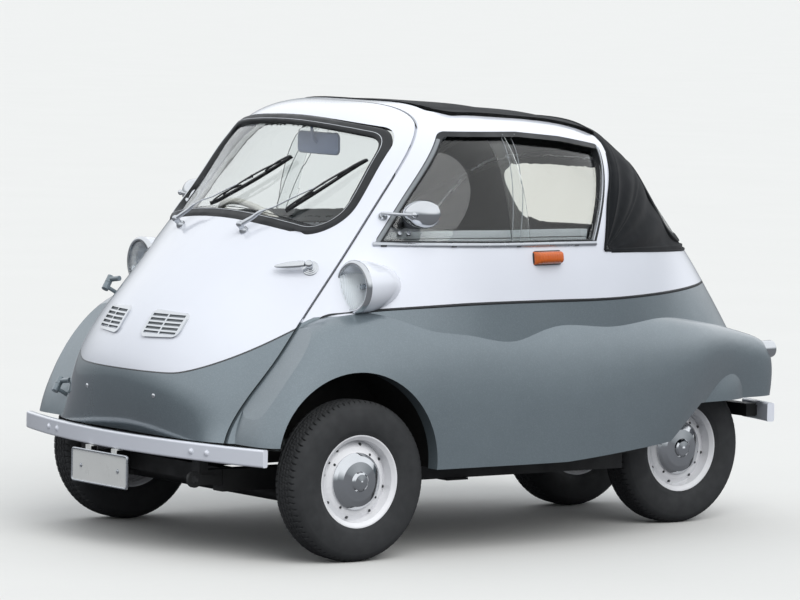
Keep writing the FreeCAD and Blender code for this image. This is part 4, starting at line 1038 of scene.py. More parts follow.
# ---------------- glass surrounds
@dataclass
class WindscreenSurround:
    """The rubber round the windscreen, with its bright insert.

    Attributes:
        low: Half width and height of the lower corners, millimetres.
        low_middle: Height of the bowed lower edge at the middle.
        top: Half width and height of the upper corners.
        top_middle: Height of the bowed upper edge at the middle.
        corner: Radius of the corners.
        seal_proud: Metres that the CAD seal stands above the skin.
        fullness: Power of the bands' superellipse.
        skirt: Metres that a band's edges go down.
    """

    low: Pair = (445.0, 931.0)
    low_middle: float = 983.0
    top: Pair = (418.0, 1252.0)
    top_middle: float = 1285.0
    corner: float = 78.0
    seal_proud: float = 0.005
    fullness: float = 3.2
    skirt: float = 0.008

    def outline(self) -> Array:
        """The opening's outline (y, z).

        Formula: each bowed edge is a parabola through its corners and its middle, and
        the corners are arcs.
        """
        share = np.linspace(-0.68, 0.68, 9)
        edges = []
        for (half, height), middle, way in ((self.low, self.low_middle, 1), (self.top, self.top_middle, -1)):
            y = np.concatenate(((-1.0,), share, (1.0,))) * half * way
            edges.append(np.column_stack((y, middle - (middle - height) * (y / half) ** 2)))
        radii = [self.corner] + [4.0] * len(share) + [self.corner]
        return rounded_outline(np.vstack(edges), radii * 2)

    def ring(self, inset: float, count: int = 420) -> Met:
        """A loop on the seal, inside the opening's outline.

        Args:
            inset: Millimetres inside the outline, seen from the front.
            count: Points of the loop.

        Returns:
            Points and outward directions.
        """
        outline = respaced(self.outline(), 330, closed=True)
        tangent = unit(np.roll(outline, -1, 0) - np.roll(outline, 1, 0))
        inward = np.stack((-tangent[:, 1], tangent[:, 0]), 1)
        flat = evened(outline + inward * inset, 2, closed=True)
        spots, facing = DOOR_SKIN.from_end(flat)
        facing = evened(facing, 30, closed=True)
        spots = evened(spots, 3, closed=True) - facing * self.seal_proud
        return curve_through(spots, count, closed=True), unit(curve_through(facing, count, True))

    def band(self, first: float, last: float, height: float, lips: Pair, finish: int = 0) -> Patch:
        """A raised band on the seal between two insets.

        Formula: its height follows a superellipse across the band, and each edge reaches
        a lip further along the skin and goes down by the skirt.

        Args:
            first: Millimetres inside the outline at its outer edge.
            last: The same at its inner edge.
            height: Metres above the skin.
            lips: Metres that the outer and the inner edge reach further.
            finish: Index of its finish.

        Returns:
            The band's surface.
        """
        share = np.linspace(-1, 1, 13)
        rings = [self.ring(first + (last - first) * (u + 1) / 2) for u in share]
        rows = [spots + up * height * (1 - abs(u) ** self.fullness) ** (1 / self.fullness)
                for u, (spots, up) in zip(share, rings)]
        for edge, beside, lip in ((0, 1, lips[0]), (-1, -2, lips[1])):
            rows[edge] = rows[edge] + unit(rings[edge][0] - rings[beside][0]) * lip
        rows = [rows[0] - rings[0][1] * self.skirt] + rows + [rows[-1] - rings[-1][1] * self.skirt]
        return Patch(np.stack(rows, 1), ring=True, loop=True, finish=finish)

    def build(self) -> None:
        """Makes the rubber and the insert as one piece."""
        make_piece("windscreen_surround",
                   [self.band(1.0, 21.0, 0.0062, (0.006, 0.003)),
                    self.band(14.2, 16.4, 0.0078, (0.0008, 0.0008), finish=1)],
                   [RUBBER, CHROME], Body.DOOR, replaces=["windscreen_seal"])


@dataclass
class DoorSealAndGapShade:
    """The black rubber on the body's edge, in the gap round the door; it is also painted shade deep in the
    gap, where the body's edge face would show.

    Attributes:
        seam: The gap's middle in side view (x, z), millimetres.
        sides: Lowest and highest point of the upright runs, millimetres.
        hub: Height of the line that the rays over the roof aim at.
        fan: Radians above level at which those rays start and end.
        aside: Metres from the seam at which the door's and the body's skins are met.
        sink: Metres that it lies under the middle of the two.
    """

    seam: tuple[Pair, ...] = ((1085, 348), (1069, 388), (1050.7, 427.3), (1030.4, 465.4),
                                             (1007.9, 502.2), (983.4, 537.8), (957, 572), (394, 1268),
                                             (380.5, 1300), (386, 1335), (386, 1400))
    sides: Pair = (704.0, 1130.0)
    hub: float = 800.0
    fan: float = 0.62
    aside: float = 0.007
    sink: float = 0.0011

    def between(self, starts: Array, ways: Array | Sequence[float]) -> Met:
        """Half-way between the door's edge and the body's.

        Args:
            starts: First points of rays aimed at the gap.
            ways: Their directions.

        Returns:
            Points and outward directions.
        """
        door, shell = (skin.drop(starts + (shift, 0, 0), ways)
                       for skin, shift in ((VENT_SKIN, self.aside), (EDGE_SKIN, -self.aside)))
        return (door[0] + shell[0]) / 2, unit(door[1] + shell[1])

    def build(self) -> None:
        """Makes the seal, black rubber that is also the gap's painted shade.

        Formula: level rays find the gap at each height of the two sides, and rays fanned
        about the hub's line find it over the roof, where x takes the seam's value at the
        height met, four times.
        """
        x, z = np.array(self.seam, float).T
        rise = np.linspace(*self.sides, 60)
        left, right = (self.between(place(np.interp(rise, z, x), side.value * SIDE_RAYS_MM, rise),
                                    (0, -side.value, 0)) for side in Side)
        swing = np.linspace(self.fan, math.pi - self.fan, 110)
        way = np.stack((np.zeros(110), np.cos(swing), np.sin(swing)), 1)
        at = np.interp(1250 + 60 * np.sin(swing), z, x)
        for _ in range(4):
            over = self.between(place(at, 0, self.hub) + way * 1.6, -way)
            at = at * 0.3 + np.interp(over[0][:, 2] * 1000, z, x) * 0.7
        spots, facing = (np.vstack((left[k], over[k], right[k][::-1])) for k in range(2))
        path, up = smoothed(spots - facing * self.sink, facing, (3, 8), 760)
        # A black strip 2.6 mm wide that sinks 10 mm into the gap: rubber seal and painted shade of the gap.
        seal = carried(path, up, bump_section(0.0026, 0.0003, 0.010, 5))
        make_piece("door_seal_and_gap_shade", [seal], [RUBBER])


@dataclass
class SideWindow:
    """Rubber, bright channels, sliding-pane edges and latches of one side window.

    Attributes:
        side: Which side of the car.
        pane_edges: x of each sliding pane's upright edge, at its foot and at its head.
        feet: Heights of those edges' ends.
        slots: x of the drain slots on the sill, drawn as black marks of painted shade.
        latches: x of the panes' latches.
        behind: Metres that the inner sill lies under the skin.
    """

    side: Side
    pane_edges: tuple[Pair, ...] = ((187.0, 122.0), (154.0, 71.0))
    feet: Pair = (926.0, 1243.0)
    slots: tuple[float, ...] = (606.0, 400.0, 180.0, -60.0)
    latches: tuple[float, ...] = (541.0, 516.0)
    behind: float = 0.032

    def on_side(self, flat: Array, lift: float = 0.0) -> Met:
        """Drops side-view points onto the body's side.

        Args:
            flat: Points (x, z) in millimetres.
            lift: Metres above the skin.

        Returns:
            Points and outward directions.
        """
        spots, facing = SIDE_SKIN.from_side(flat, self.side)
        facing = evened(facing, 12)
        return evened(spots, 1) + facing * lift, facing

    def strip(self, flat: Places, section: Array, lift: float = 0.0,
              count: int = 120, finish: int = 0) -> Patch:
        """A strip along a side-view line.

        Args:
            flat: Points (x, z) in millimetres.
            section: The strip's section in metres.
            lift: Metres above the skin.
            count: Points along it.
            finish: Index of its finish.

        Returns:
            The strip's surface.
        """
        spots, facing = self.on_side(respaced(flat, 90), lift)
        return carried(curve_through(spots, count), curve_through(facing, count), section, finish=finish)

    def slot(self, x: float) -> Patch:
        """A drain slot on the sill as a raised black mark of painted shade, whose height falls by 9 mm a
        metre, 16 mm long.
        """
        line = [(at, 917.5 - 0.009 * (600 - at)) for at in (x, x - 16)]
        # Black rubber finish in place of the hole: painted shade of the slot.
        return self.strip(line, bump_section(0.004, 0.0075, 0.002, 5), count=12)

    def latch(self, x: float) -> Patch:
        """A latch's turned button on the pane."""
        spots, facing = self.on_side(((x, 952.0), (x + 1, 952.0)))
        profile = ((0, 0.012), (0.006, 0.011), (0.008, 0.008), (0.008, 0.0), (0.0045, 0.0), (0.0045, -0.012),
                   (0, -0.012))
        return turned(profile, spots[0], facing[0], 20, finish=1)

    def build(self) -> None:
        """Makes the window's strips as one piece: sill, inner sill and its rubber, uprights, small parts."""
        patches = [
            self.strip(((626, 922.5), (-152, 915.5)), bump_section(0.0145, 0.0065, 0.01, 9), finish=1),
            self.strip(((596, 950), (-150, 943)), bump_section(0.040, 0.002, 0.002, 5), -self.behind,
                       finish=2),
            self.strip(((592, 946), (-150, 939)), bump_section(0.003, 0.004, 0.002, 5), -self.behind),
            # The front upright is bright alloy drawn in the matt grey trim finish; its grey is a painted
            # reflection of darker surroundings.
            self.strip(((616, 922), (363, 1228)), bump_section(0.0125, 0.0045, 0.012, 7), finish=2),
            self.strip(((-140, 923), (-267, 1201)), bump_section(0.004, 0.005, 0.006, 7), finish=1)]
        patches += [self.slot(x) for x in self.slots]
        patches += [self.strip(tuple(zip(edge, self.feet)), bump_section(0.0026, 0.0006, 0.0012, 5), finish=2)
                    for edge in self.pane_edges]
        patches += [self.latch(x) for x in self.latches]
        make_piece(f"{self.side.name.lower()}_window_channels", patches, [RUBBER, ALLOY, TRIM])


# ---------------- lamps and mirrors
@dataclass
class Headlamp:
    """A torpedo headlamp on the wing: painted shell, bright rim, fluted glass, silvered bowl."""

    side: Side
    middle: Spot = (712.0, 566.0, 802.0)
    radius: float = 0.078
    length: float = 0.158
    toe_out: float = 3.0

    def axis(self) -> Array:
        """The lamp's forward direction."""
        turn = math.radians(self.toe_out) * self.side.value
        return np.array((math.cos(turn), math.sin(turn), 0.0))

    def build(self) -> None:
        """Makes the shell, the rim, the bowl with its bulb, and the glass."""
        x, y, z = self.middle
        centre, axis, r = place(x, y * self.side.value, z), self.axis(), self.radius
        tag = self.side.name.lower()
        turn = np.linspace(0, math.pi / 2, 26)
        shell = np.stack((r * np.sin(turn), -self.length * np.cos(turn)), 1)
        shell = np.vstack((shell, (r, 0.008), (r - 0.003, 0.008), (r - 0.004, 0.0),
                           (0.8 * r, -0.3 * self.length), (0.0, -0.5 * self.length)))
        make_piece(f"{tag}_headlamp_shell", [turned(shell, centre, axis, 72)], [WHITE],
                   replaces=["headlights"])
        bend = np.linspace(-0.35, math.pi * 0.62, 9)
        ring = np.stack((r - 0.008 + 0.0095 * np.cos(bend), 0.008 + 0.0105 * np.sin(bend)), 1)
        ring = np.vstack((ring, (r - 0.013, 0.012), (r - 0.010, 0.003)))
        clip_path = np.stack([centre + axis * (0.002 + 0.015 * k) + np.array((0, 0, -r - 0.002 + 0.003 * k))
                              for k in np.linspace(0, 1, 6)])
        clip = carried(clip_path, (0, 0, -1), bump_section(0.012, 0.004, 0.002, 7))
        make_piece(f"{tag}_headlamp_rim", [turned(ring, centre, axis, 72, loop=True), clip], [CHROME])
        depth = np.linspace(0, 1, 20)
        bowl_in = np.stack((0.012 + (r - 0.023) * depth ** 0.5, -0.062 + 0.07 * depth), 1)
        bowl_out = bowl_in[::-1] + (0.0015, -0.0015)
        bulb = ((0, -0.012), (0.006, -0.014), (0.009, -0.021), (0.009, -0.029), (0.006, -0.036),
                (0.005, -0.05), (0, -0.05))
        make_piece(f"{tag}_headlamp_bowl",
                   [turned(np.vstack((bowl_in, bowl_out)), centre, axis, 64, loop=True),
                    turned(bulb, centre, axis, 20)], [SILVER])
        share = np.linspace(0, 1, 16)
        front = np.stack((share * (r - 0.0105), 0.028 - 0.0135 * share ** 2), 1)
        back = front[::-1] - (0, 0.004)
        make_piece(f"{tag}_headlamp_glass", [turned(np.vstack((front, back)), centre, axis, 72)], [LENS])


@dataclass
class DoorMirror:
    """An oval dished mirror on a rod from the windscreen pillar, turned to the driver.

    Attributes:
        head: Middle of its rim, millimetres, on the left side.
        clamp: Where its rod stands on the body, in side view (x, z).
        turn_in: Degrees that each side's glass is turned from straight back to the driver.
        width: Across the head, metres.
        height: The head's height at its middle.
        depth: The hull's depth.
    """

    side: Side
    head: Spot = (504.0, 598.0, 1014.0)
    clamp: Pair = (576.0, 1003.0)
    turn_in: dict[Side, float] = field(default_factory=lambda: {Side.LEFT: 25.0, Side.RIGHT: -34.0})
    width: float = 0.122
    height: float = 0.084
    depth: float = 0.040

    def build(self) -> None:
        """Makes the head, its glass, the rod and the clamp.

        Formula: the head's hull is half an ellipsoid, lower towards its inner end by an
        eighth of its height either way.
        """
        sign = self.side.value
        x, y, z = self.head
        centre = place(x, y * sign, z)
        turn_in = math.radians(self.turn_in[self.side])
        facing = np.array((-math.cos(turn_in), -math.sin(turn_in), 0.02))
        across = unit(np.cross(facing, (0, 0, 1))) * sign
        over = np.array((0.0, 0.0, 1.0))
        turn = np.linspace(0, math.pi / 2, 24)
        hull = np.stack((np.sin(turn) ** 0.9, -np.cos(turn) * self.depth), 1)
        wall = np.vstack((hull, (1.0, 0.004), (0.96, 0.006), (0.94, 0.003), (0.93, -0.004), (0.0, -0.006)))
        around = np.arange(56) * math.tau / 56
        spoke = (across * np.cos(around)[:, None] * self.width / 2
                 + over * (np.sin(around) * (1 + 0.125 * np.cos(around)))[:, None] * self.height / 2)
        shell = centre + facing * wall[:, 1, None, None] + spoke[None] * wall[:, 0, None, None]
        disc = np.array(((0.0, 0.0005), (0.45, 0.0004), (0.93, -0.0002), (0.93, -0.003), (0.0, -0.003)))
        glass = centre + facing * disc[:, 1, None, None] + spoke[None] * disc[:, 0, None, None]
        (foot,), (out,) = SIDE_SKIN.from_side((self.clamp,), self.side)
        pole = centre - facing * (self.depth + 0.004)
        rod = curve_through((foot + out * 0.004, foot + out * 0.020,
                             (foot + pole) / 2 + (0, 0.006 * sign, 0.004), pole), 40)
        taper = np.linspace(1.0, 0.8, 40)
        base = ((0, 0.012), (0.009, 0.011), (0.013, 0.006), (0.015, 0.0), (0.015, -0.003), (0, -0.003))
        half_turn = np.linspace(0, math.pi, 12)
        ball = np.stack((0.009 * np.sin(half_turn), -0.009 * np.cos(half_turn)), 1)
        make_piece(f"{self.side.name.lower()}_mirror",
                   [Patch(shell, ring=True), Patch(glass, ring=True, finish=1),
                    carried(rod, (0, 0, 1), circle(0.0055, 16), scale=taper), turned(base, foot, out, 28),
                    turned(ball, rod[-1], facing, 20)],
                   [CHROME, SILVER], replaces=["side_mirrors"])


@dataclass
class SideIndicator:
    """A ribbed amber lens on a dark base."""

    side: Side
    middle: Pair = (54.0, 877.0)
    length: float = 0.116
    height: float = 0.040
    proud: float = 0.029
    ribs: int = 12

    def build(self) -> None:
        """Makes the lens and its base.

        Formula: the lens is a superellipse dome, its height above the base raised by a
        cosine of the ribs' pitch.
        """
        (foot,), (out,) = SIDE_SKIN.from_side((self.middle,), self.side)
        along = unit(np.cross((0, 0, 1), out))
        over = np.cross(out, along)
        u = np.linspace(-1, 1, 150)[:, None]
        v = np.linspace(-1, 1, 28)[None]
        fall = np.maximum(1 - np.abs(u) ** 5, 0) ** 0.5 * np.maximum(1 - np.abs(v) ** 4, 0) ** 0.6
        lift = self.proud * fall * (1 + 0.06 * np.cos(u * math.pi * self.ribs))
        flat = along * (u * self.length / 2)[..., None] + over * (v * self.height / 2)[..., None]
        dome = foot + (flat + out * lift[..., None])
        back = foot + (flat + out * -0.004)
        lens = np.concatenate((dome, back[:, ::-1]), axis=1)
        half, tall = self.length / 2 + 0.002, self.height / 2 + 0.002
        pad = rounded_outline(((-half, -tall), (half, -tall), (half, tall), (-half, tall)), 0.012)
        rims = [foot + along * pad[:, :1] * s + over * pad[:, 1:] * s + out * h
                for s, h in ((1.0, -0.012), (1.0, 0.003), (0.97, 0.005))]
        make_piece(f"{self.side.name.lower()}_indicator",
                   [Patch(lens, ring=True, caps=True), Patch(np.stack(rims), ring=True, caps=True, finish=1)],
                   [AMBER, BLACK_PLASTIC], replaces=["side_indicators"])


@dataclass
class TailLamp:
    """A round red lamp in a bright collar, at the tip of the wing."""

    side: Side

    def build(self) -> None:
        """Makes the collar and the stepped lens."""
        low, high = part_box("tail_lamps")
        centre = np.array((low.x + 0.020, self.side.value * 0.352, (low.z + high.z) / 2))
        collar = ((0.020, -0.05), (0.0265, -0.05), (0.0275, 0.002), (0.026, 0.006), (0.0225, 0.006),
                  (0.022, 0.0))
        share = np.linspace(0, 1, 40)
        dome = np.stack((0.0223 * share, 0.0175 - 0.011 * share ** 3 + 0.0007 * np.cos(share * 26)), 1)
        lens = np.vstack((dome, (0.0223, 0.0), (0, 0.0)))
        make_piece(f"{self.side.name.lower()}_tail_lamp",
                   [turned(lens, centre, (-1, 0, 0)),
                    turned(collar, centre, (-1, 0, 0), loop=True, finish=1)],
                   [RED, CHROME], replaces=["tail_lamps"])


# ---------------- wheels
@dataclass
class RoadWheel:
    """One tyre with its tread, and the bolts and valve of its rim.

    Attributes:
        centre: The wheel's middle in the row frame.
        side: Which way its face looks.
        rim: The CAD node of its rim.
        pitches: Tread pitches round the tyre.
        groove: Depth of the tread, metres.
        grooves: Each groove's middle, the swing of its zigzag, and its half width.
        around: Points round the tyre.
    """

    centre: Array
    side: Side
    rim: str
    pitches: int = 76
    groove: float = 0.0055
    grooves: tuple[Spot, ...] = (
        (-0.0215, 0.0012, 0.0024), (-0.0075, 0.0022, 0.0019), (0.0075, -0.0022, 0.0019),
        (0.0215, -0.0012, 0.0024))
    around: int = 760

    def tyre(self) -> Patch:
        """The tyre's closed surface.

        Formula: a section curve is turned about the axle; on the tread the radius falls
        by the groove's depth where a zigzag round the tyre, a slot between shoulder
        blocks, or a fine cut across a rib passes.
        """
        half = np.array(((0.1300, 0.0464), (0.1345, 0.0500), (0.1430, 0.0545), (0.1560, 0.0600),
                         (0.1760, 0.0630), (0.1960, 0.0622), (0.2120, 0.0585), (0.2230, 0.0530),
                         (0.2300, 0.0460), (0.2345, 0.0405), (0.2366, 0.0350), (0.2376, 0.0200),
                         (0.2380, 0.0)))
        section = np.vstack((half, half[-2::-1] * (1, -1)))
        fine = curve_through(section, 92)
        radius, along = fine[:, :1], fine[:, 1:]
        turn = np.arange(self.around)[None] * math.tau / self.around
        phase = turn * self.pitches / math.tau
        zigzag = np.abs((phase % 1) - 0.5) * 4 - 1
        depth = np.zeros((len(fine), self.around))
        for middle, swing, half_width in self.grooves:
            off = np.abs(along - middle - swing * zigzag)
            depth = np.maximum(depth, np.clip((half_width - off) / 0.0009 + 0.5, 0, 1))
        slot = np.abs(((phase + np.abs(along) * 9) % 1) - 0.5)
        blocks = np.clip((0.12 - slot) / 0.05, 0, 1) * np.clip((np.abs(along) - 0.026) / 0.002, 0, 1)
        depth = np.maximum(depth, blocks * np.clip((0.0455 - np.abs(along)) / 0.004, 0, 1))
        cut = np.abs(((phase * 2 + along * 30) % 1) - 0.5)
        depth = np.maximum(depth, 0.45 * np.clip((0.09 - cut) / 0.05, 0, 1) * (np.abs(along) < 0.02))
        tread = np.clip((radius - 0.226) / 0.006, 0, 1)
        ribs = (0.0006 * np.exp(-((radius - 0.150) / 0.0016) ** 2)
                + 0.0007 * np.exp(-((radius - 0.216) / 0.0018) ** 2))
        radius = radius - self.groove * depth * tread
        along = along + np.sign(along) * ribs
        axis = np.array((0.0, 1.0, 0.0))
        spoke = np.stack((np.cos(turn[0]), np.zeros(self.around), np.sin(turn[0])), -1)
        along = np.broadcast_to(along, radius.shape)
        points = self.centre + axis * along[..., None] + spoke[None] * radius[..., None]
        return Patch(points, ring=True, loop=True)

    def fittings(self) -> list[Patch]:
        """Eight small bolts near the rim's edge, four by the cap, and the valve."""
        sign = self.side.value
        skin = Skin([self.rim])
        patches = []
        head = np.array(((0, 0.0042), (0.0030, 0.0040), (0.0046, 0.0025), (0.0048, 0.0), (0.0048, -0.003),
                         (0, -0.003)))
        for count, radius, size, first in ((8, 0.1085, 1.0, 0.2), (4, 0.0905, 0.8, 0.6)):
            turn = first + np.arange(count) * math.tau / count
            starts = self.centre + np.stack((np.cos(turn) * radius, np.full(count, sign * 0.12),
                                             np.sin(turn) * radius), 1)
            spots, _ = skin.drop(starts, (0, -sign, 0))
            patches += [turned(head * size, spot, (0, sign, 0), 12) for spot in spots]
        start = self.centre + np.array((0.102, sign * 0.12, 0.060))
        spot, _ = skin.drop(start[None], (0, -sign, 0))
        stem = ((0, 0.024), (0.0032, 0.0238), (0.0036, 0.018), (0.0030, 0.015), (0.0040, 0.008),
                (0.0056, 0.0), (0.0056, -0.004), (0, -0.004))
        patches.append(turned(stem, spot[0], (-0.1, sign, -0.06), 16, finish=1))
        return patches


@dataclass
class WheelSet:
    """The wheels of one moving body.

    Attributes:
        name: What its pieces' names begin with.
        body: The body.
        tyre_node: The CAD node of its tyres.
        rim_node: The CAD node of its rims.
        sides: Which way each wheel's face looks.
        tyre_width: Metres across one tyre.
    """

    name: str
    body: Body
    tyre_node: str
    rim_node: str
    sides: tuple[Side, ...]
    tyre_width: float = 0.126

    def build(self) -> None:
        """Makes the tyres and the rims' fittings."""
        tyre_low, tyre_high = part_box(self.tyre_node)
        middle = (np.array(tyre_low) + np.array(tyre_high)) / 2
        span = (tyre_high.y - tyre_low.y - self.tyre_width) / 2 if len(self.sides) > 1 else 0.0
        wheels = [RoadWheel(middle + (0, side.value * span, 0), side, self.rim_node) for side in self.sides]
        make_piece(self.name + "_tyres", [wheel.tyre() for wheel in wheels], [TYRE], self.body,
                   replaces=[self.tyre_node], sharp=50)
        make_piece(self.name + "_fittings", [patch for wheel in wheels for patch in wheel.fittings()],
                   [CASTING, RUBBER], self.body)


# ---------------- door furniture
@dataclass
class WiperArms:
    """Two wipers on the windscreen: pivots, tapered arms, linked blades.

    Attributes:
        sets: Each wiper's pivot, and its blade's near and far end, (y, z) in millimetres.
        blade_lift: Metres from the glass to the blade's back.
    """

    sets: tuple[tuple[Pair, ...], ...] = (
        ((-188, 941), (-100, 1000), (121, 1158)), ((154, 944), (248, 995), (392, 1160)))
    blade_lift: float = 0.0165

    def over_glass(self, flat: Array, lift: float) -> Met:
        """Points above the windscreen's outside.

        Args:
            flat: Points (y, z) in millimetres.
            lift: Metres above the skin, one or one for each.

        Returns:
            Points and outward directions.
        """
        spots, facing = DOOR_SKIN.from_end(flat)
        facing = evened(facing, 4)
        return evened(spots, 3) + facing * np.asarray(lift, float).reshape(-1, 1), facing

    def wiper(self, pivot: Sequence[float], near: Sequence[float], far: Sequence[float]) -> list[Patch]:
        """The surfaces of one wiper.

        Formula: the arm stands over the glass by a sine arch and tapers past its spring
        housing; each link of the blade is an arch of a sine's power 0.7 between two places
        along it.

        Args:
            pivot: (y, z) in millimetres.
            near: The blade's near end.
            far: Its far end.

        Returns:
            Arm, pivot, rubber, links and pin.
        """
        pivot, near, far = (np.array(v, float) for v in (pivot, near, far))
        share = np.linspace(0, 1, 40)[:, None]
        edge, out = self.over_glass(near + (far - near) * share, self.blade_lift)
        middle = near + (far - near) * 0.5
        arm_line, arm_out = self.over_glass(pivot + (middle - pivot) * share,
                                            0.026 + 0.006 * np.sin(share * math.pi))
        taper = np.interp(np.linspace(0, 1, 40), (0, 0.28, 0.33, 1), (1.7, 1.15, 0.5, 0.42))
        arm = carried(arm_line, arm_out, bump_section(0.009, 0.004, 0.003, 9), scale=taper, finish=1)
        foot, axis = self.over_glass(np.stack((pivot, pivot + 1)), 0.0)
        boss = ((0, 0.037), (0.006, 0.0365), (0.0095, 0.033), (0.0105, 0.027), (0.0085, 0.024),
                (0.0085, 0.012), (0.0125, 0.008), (0.0145, 0.003), (0.0145, -0.012), (0, -0.012))
        rubber = np.array(((-0.0032, 0.002), (-0.0032, -0.001), (-0.0006, -0.003), (-0.0004, -0.0095),
                           (0.0004, -0.0095), (0.0006, -0.003), (0.0032, -0.001), (0.0032, 0.002)))
        patches = [arm, turned(boss, foot[0], axis[0], 28, finish=1), carried(edge, out, rubber)]
        for start, stop, rise in ((0.13, 0.87, 0.0105), (0.02, 0.36, 0.006), (0.64, 0.98, 0.006)):
            link = np.linspace(start, stop, 30)[:, None]
            line, up = self.over_glass(near + (far - near) * link, self.blade_lift)
            arch = np.sin(np.linspace(0, math.pi, 30)) ** 0.7 * rise + 0.0035
            patches.append(carried(line + up * arch[:, None], up, bump_section(0.0062, 0.0022, 0.0015, 7)))
        pin = (far - near) * 0.02
        top, top_out = self.over_glass(np.stack((middle - pin, middle + pin)), 0.0285)
        patches.append(carried(np.linspace(top[0], top[1], 6), top_out[0], circle(0.0055, 12)))
        return patches

    def build(self) -> None:
        """Makes both wipers as one piece."""
        make_piece("wiper_arms", [patch for one in self.sets for patch in self.wiper(*one)],
                   [BLACK_PLASTIC, ALLOY], Body.DOOR, replaces=["wipers"])


@dataclass
class DoorFurniture:
    """Handle, vent backs and plugs of the door.

    Attributes:
        handle: The handle's spindle (y, z), millimetres.
        reach: Length of its lever, metres.
        plug: The left plug (y, z), millimetres.
        vent: Distances from the middle plane between which a vent lies, metres.
    """

    handle: Pair = (434.0, 849.0)
    reach: float = 0.072
    plug: Pair = (180.0, 465.0)
    vent: Pair = (0.072, 0.200)

    def lever(self) -> None:
        """The handle: a stepped round escutcheon and a tapered lever.

        Formula: the escutcheon is a turned profile; the lever is an ellipse carried from
        the spindle along the skin, its size falling to 0.55 and swelling at the tip.
        """
        y, z = self.handle
        (foot,), (out,) = DOOR_SKIN.from_end((self.handle,))
        rings = ((0, 0.014), (0.0075, 0.0138), (0.0085, 0.012), (0.0085, 0.009), (0.012, 0.0088),
                 (0.0135, 0.0075), (0.0135, 0.0062), (0.0175, 0.0058), (0.019, 0.0045), (0.019, 0.0036),
                 (0.0225, 0.003), (0.0245, 0.0012), (0.0245, -0.004), (0, -0.004))
        hub = ((0, 0.036), (0.006, 0.0357), (0.0105, 0.033), (0.0125, 0.028), (0.0125, 0.023),
               (0.0095, 0.018), (0.0080, 0.013), (0, 0.013))
        share = np.linspace(0, 1, 40)
        path, up = DOOR_SKIN.from_end([(y - 8 - s * self.reach * 1000, z - 9 * s) for s in share])
        path = evened(path, 3) + evened(up, 4) * (0.027 - 0.006 * share[:, None])
        size = np.interp(share, (0, 0.2, 0.55, 0.9, 1.0), (0.95, 1.2, 1.15, 0.6, 0.25))
        lever = carried(path, evened(up, 4), circle(0.0098, 20, 0.62), scale=size)
        make_piece("door_lever", [turned(rings, foot, out, 56), turned(hub, foot, out, 32), lever], [CHROME],
                   Body.DOOR, replaces=["door_handle"])

    def vent_backs(self) -> None:
        """Thin grey plates on the door's skin behind the vents' slots."""
        low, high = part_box("door_vents")
        rows, columns = 10, 14
        v = np.linspace(low.z + 0.012, high.z - 0.012, rows)
        u = np.linspace(*self.vent, columns)
        patches = []
        for side in Side:
            grid = np.stack(np.meshgrid(v, u * side.value, indexing="ij"), -1).reshape(-1, 2)[:, ::-1] * 1000
            skin, out = VENT_SKIN.from_end(grid)
            front, back = ((skin + out * lift).reshape(rows, columns, 3) for lift in (0.0006, -0.001))
            patches.append(Patch(np.concatenate((front, back[:, ::-1]), 1), ring=True, caps=True))
        make_piece("vent_backs", patches, [TRIM], Body.DOOR)

    def plugs(self) -> None:
        """Two small bright plugs low on the door."""
        head = ((0, 0.0035), (0.004, 0.0032), (0.0065, 0.0018), (0.0072, 0.0), (0.0072, -0.002), (0, -0.002))
        y, z = self.plug
        spots, facing = DOOR_SKIN.from_end(((y, z), (-y, z)))
        make_piece("door_plugs", [turned(head, spot, out, 24) for spot, out in zip(spots, facing)], [CHROME],
                   Body.DOOR)

    def build(self) -> None:
        """Makes the door's furniture."""
        self.lever()
        self.vent_backs()
        self.plugs()


# ---------------- bumpers and plate
@dataclass
class BumperFittings:
    """Bolt heads on the blades, and the rim and studs of the number plate.

    Attributes:
        front: The front blade's bolts (y, z), millimetres.
        rear: The rear blades' bolts.
    """

    front: tuple[Pair, ...] = ((364, 318), (428, 318), (-428, 318), (-364, 318))
    rear: tuple[Pair, ...] = ((320, 348), (-320, 348), (285, 348), (-285, 348))

    def bolt(self, spot: Array, way: Sequence[float], size: float = 1.0) -> Patch:
        """A low domed bolt head on a washer, turned about its own axis."""
        head = np.array(((0, 0.0055), (0.004, 0.0052), (0.0068, 0.0034), (0.0074, 0.0016), (0.0095, 0.0014),
                         (0.0098, 0.0), (0.0098, -0.002), (0, -0.002)))
        return turned(head * size, spot, way, 20)

    def plate_frame(self) -> Patch:
        """The thin bright rim round the number plate."""
        low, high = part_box("number_plate")
        top = low.z + 0.096
        corners = ((low.y, low.z), (high.y, low.z), (high.y, top), (low.y, top))
        outline = rounded_outline(np.array(corners) * 1000, 8.0) / 1000
        path = np.column_stack((np.full(len(outline), high.x), outline))
        path = respaced(path, 160, closed=True)
        return carried(path, (1, 0, 0), bump_section(0.006, 0.003, 0.004, 7), closed=True)

    def build(self) -> None:
        """Makes the bolts and the rim."""
        skin = Skin(["front_bumper", "rear_bumpers"])
        patches = [self.bolt(spot, out) for flat, way in ((self.front, -1), (self.rear, 1))
                   for spot, out in zip(*skin.from_end(flat, way))]
        make_piece("bumper_bolts", patches, [WHITE])
        low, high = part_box("number_plate")
        middle = (low.y + high.y) / 2
        studs = [self.bolt(np.array((high.x, y, low.z + 0.048)), (1, 0, 0), 0.7)
                 for y in (middle - 0.1, middle + 0.1)]
        make_piece("plate_rim", [self.plate_frame()] + studs, [ALLOY])


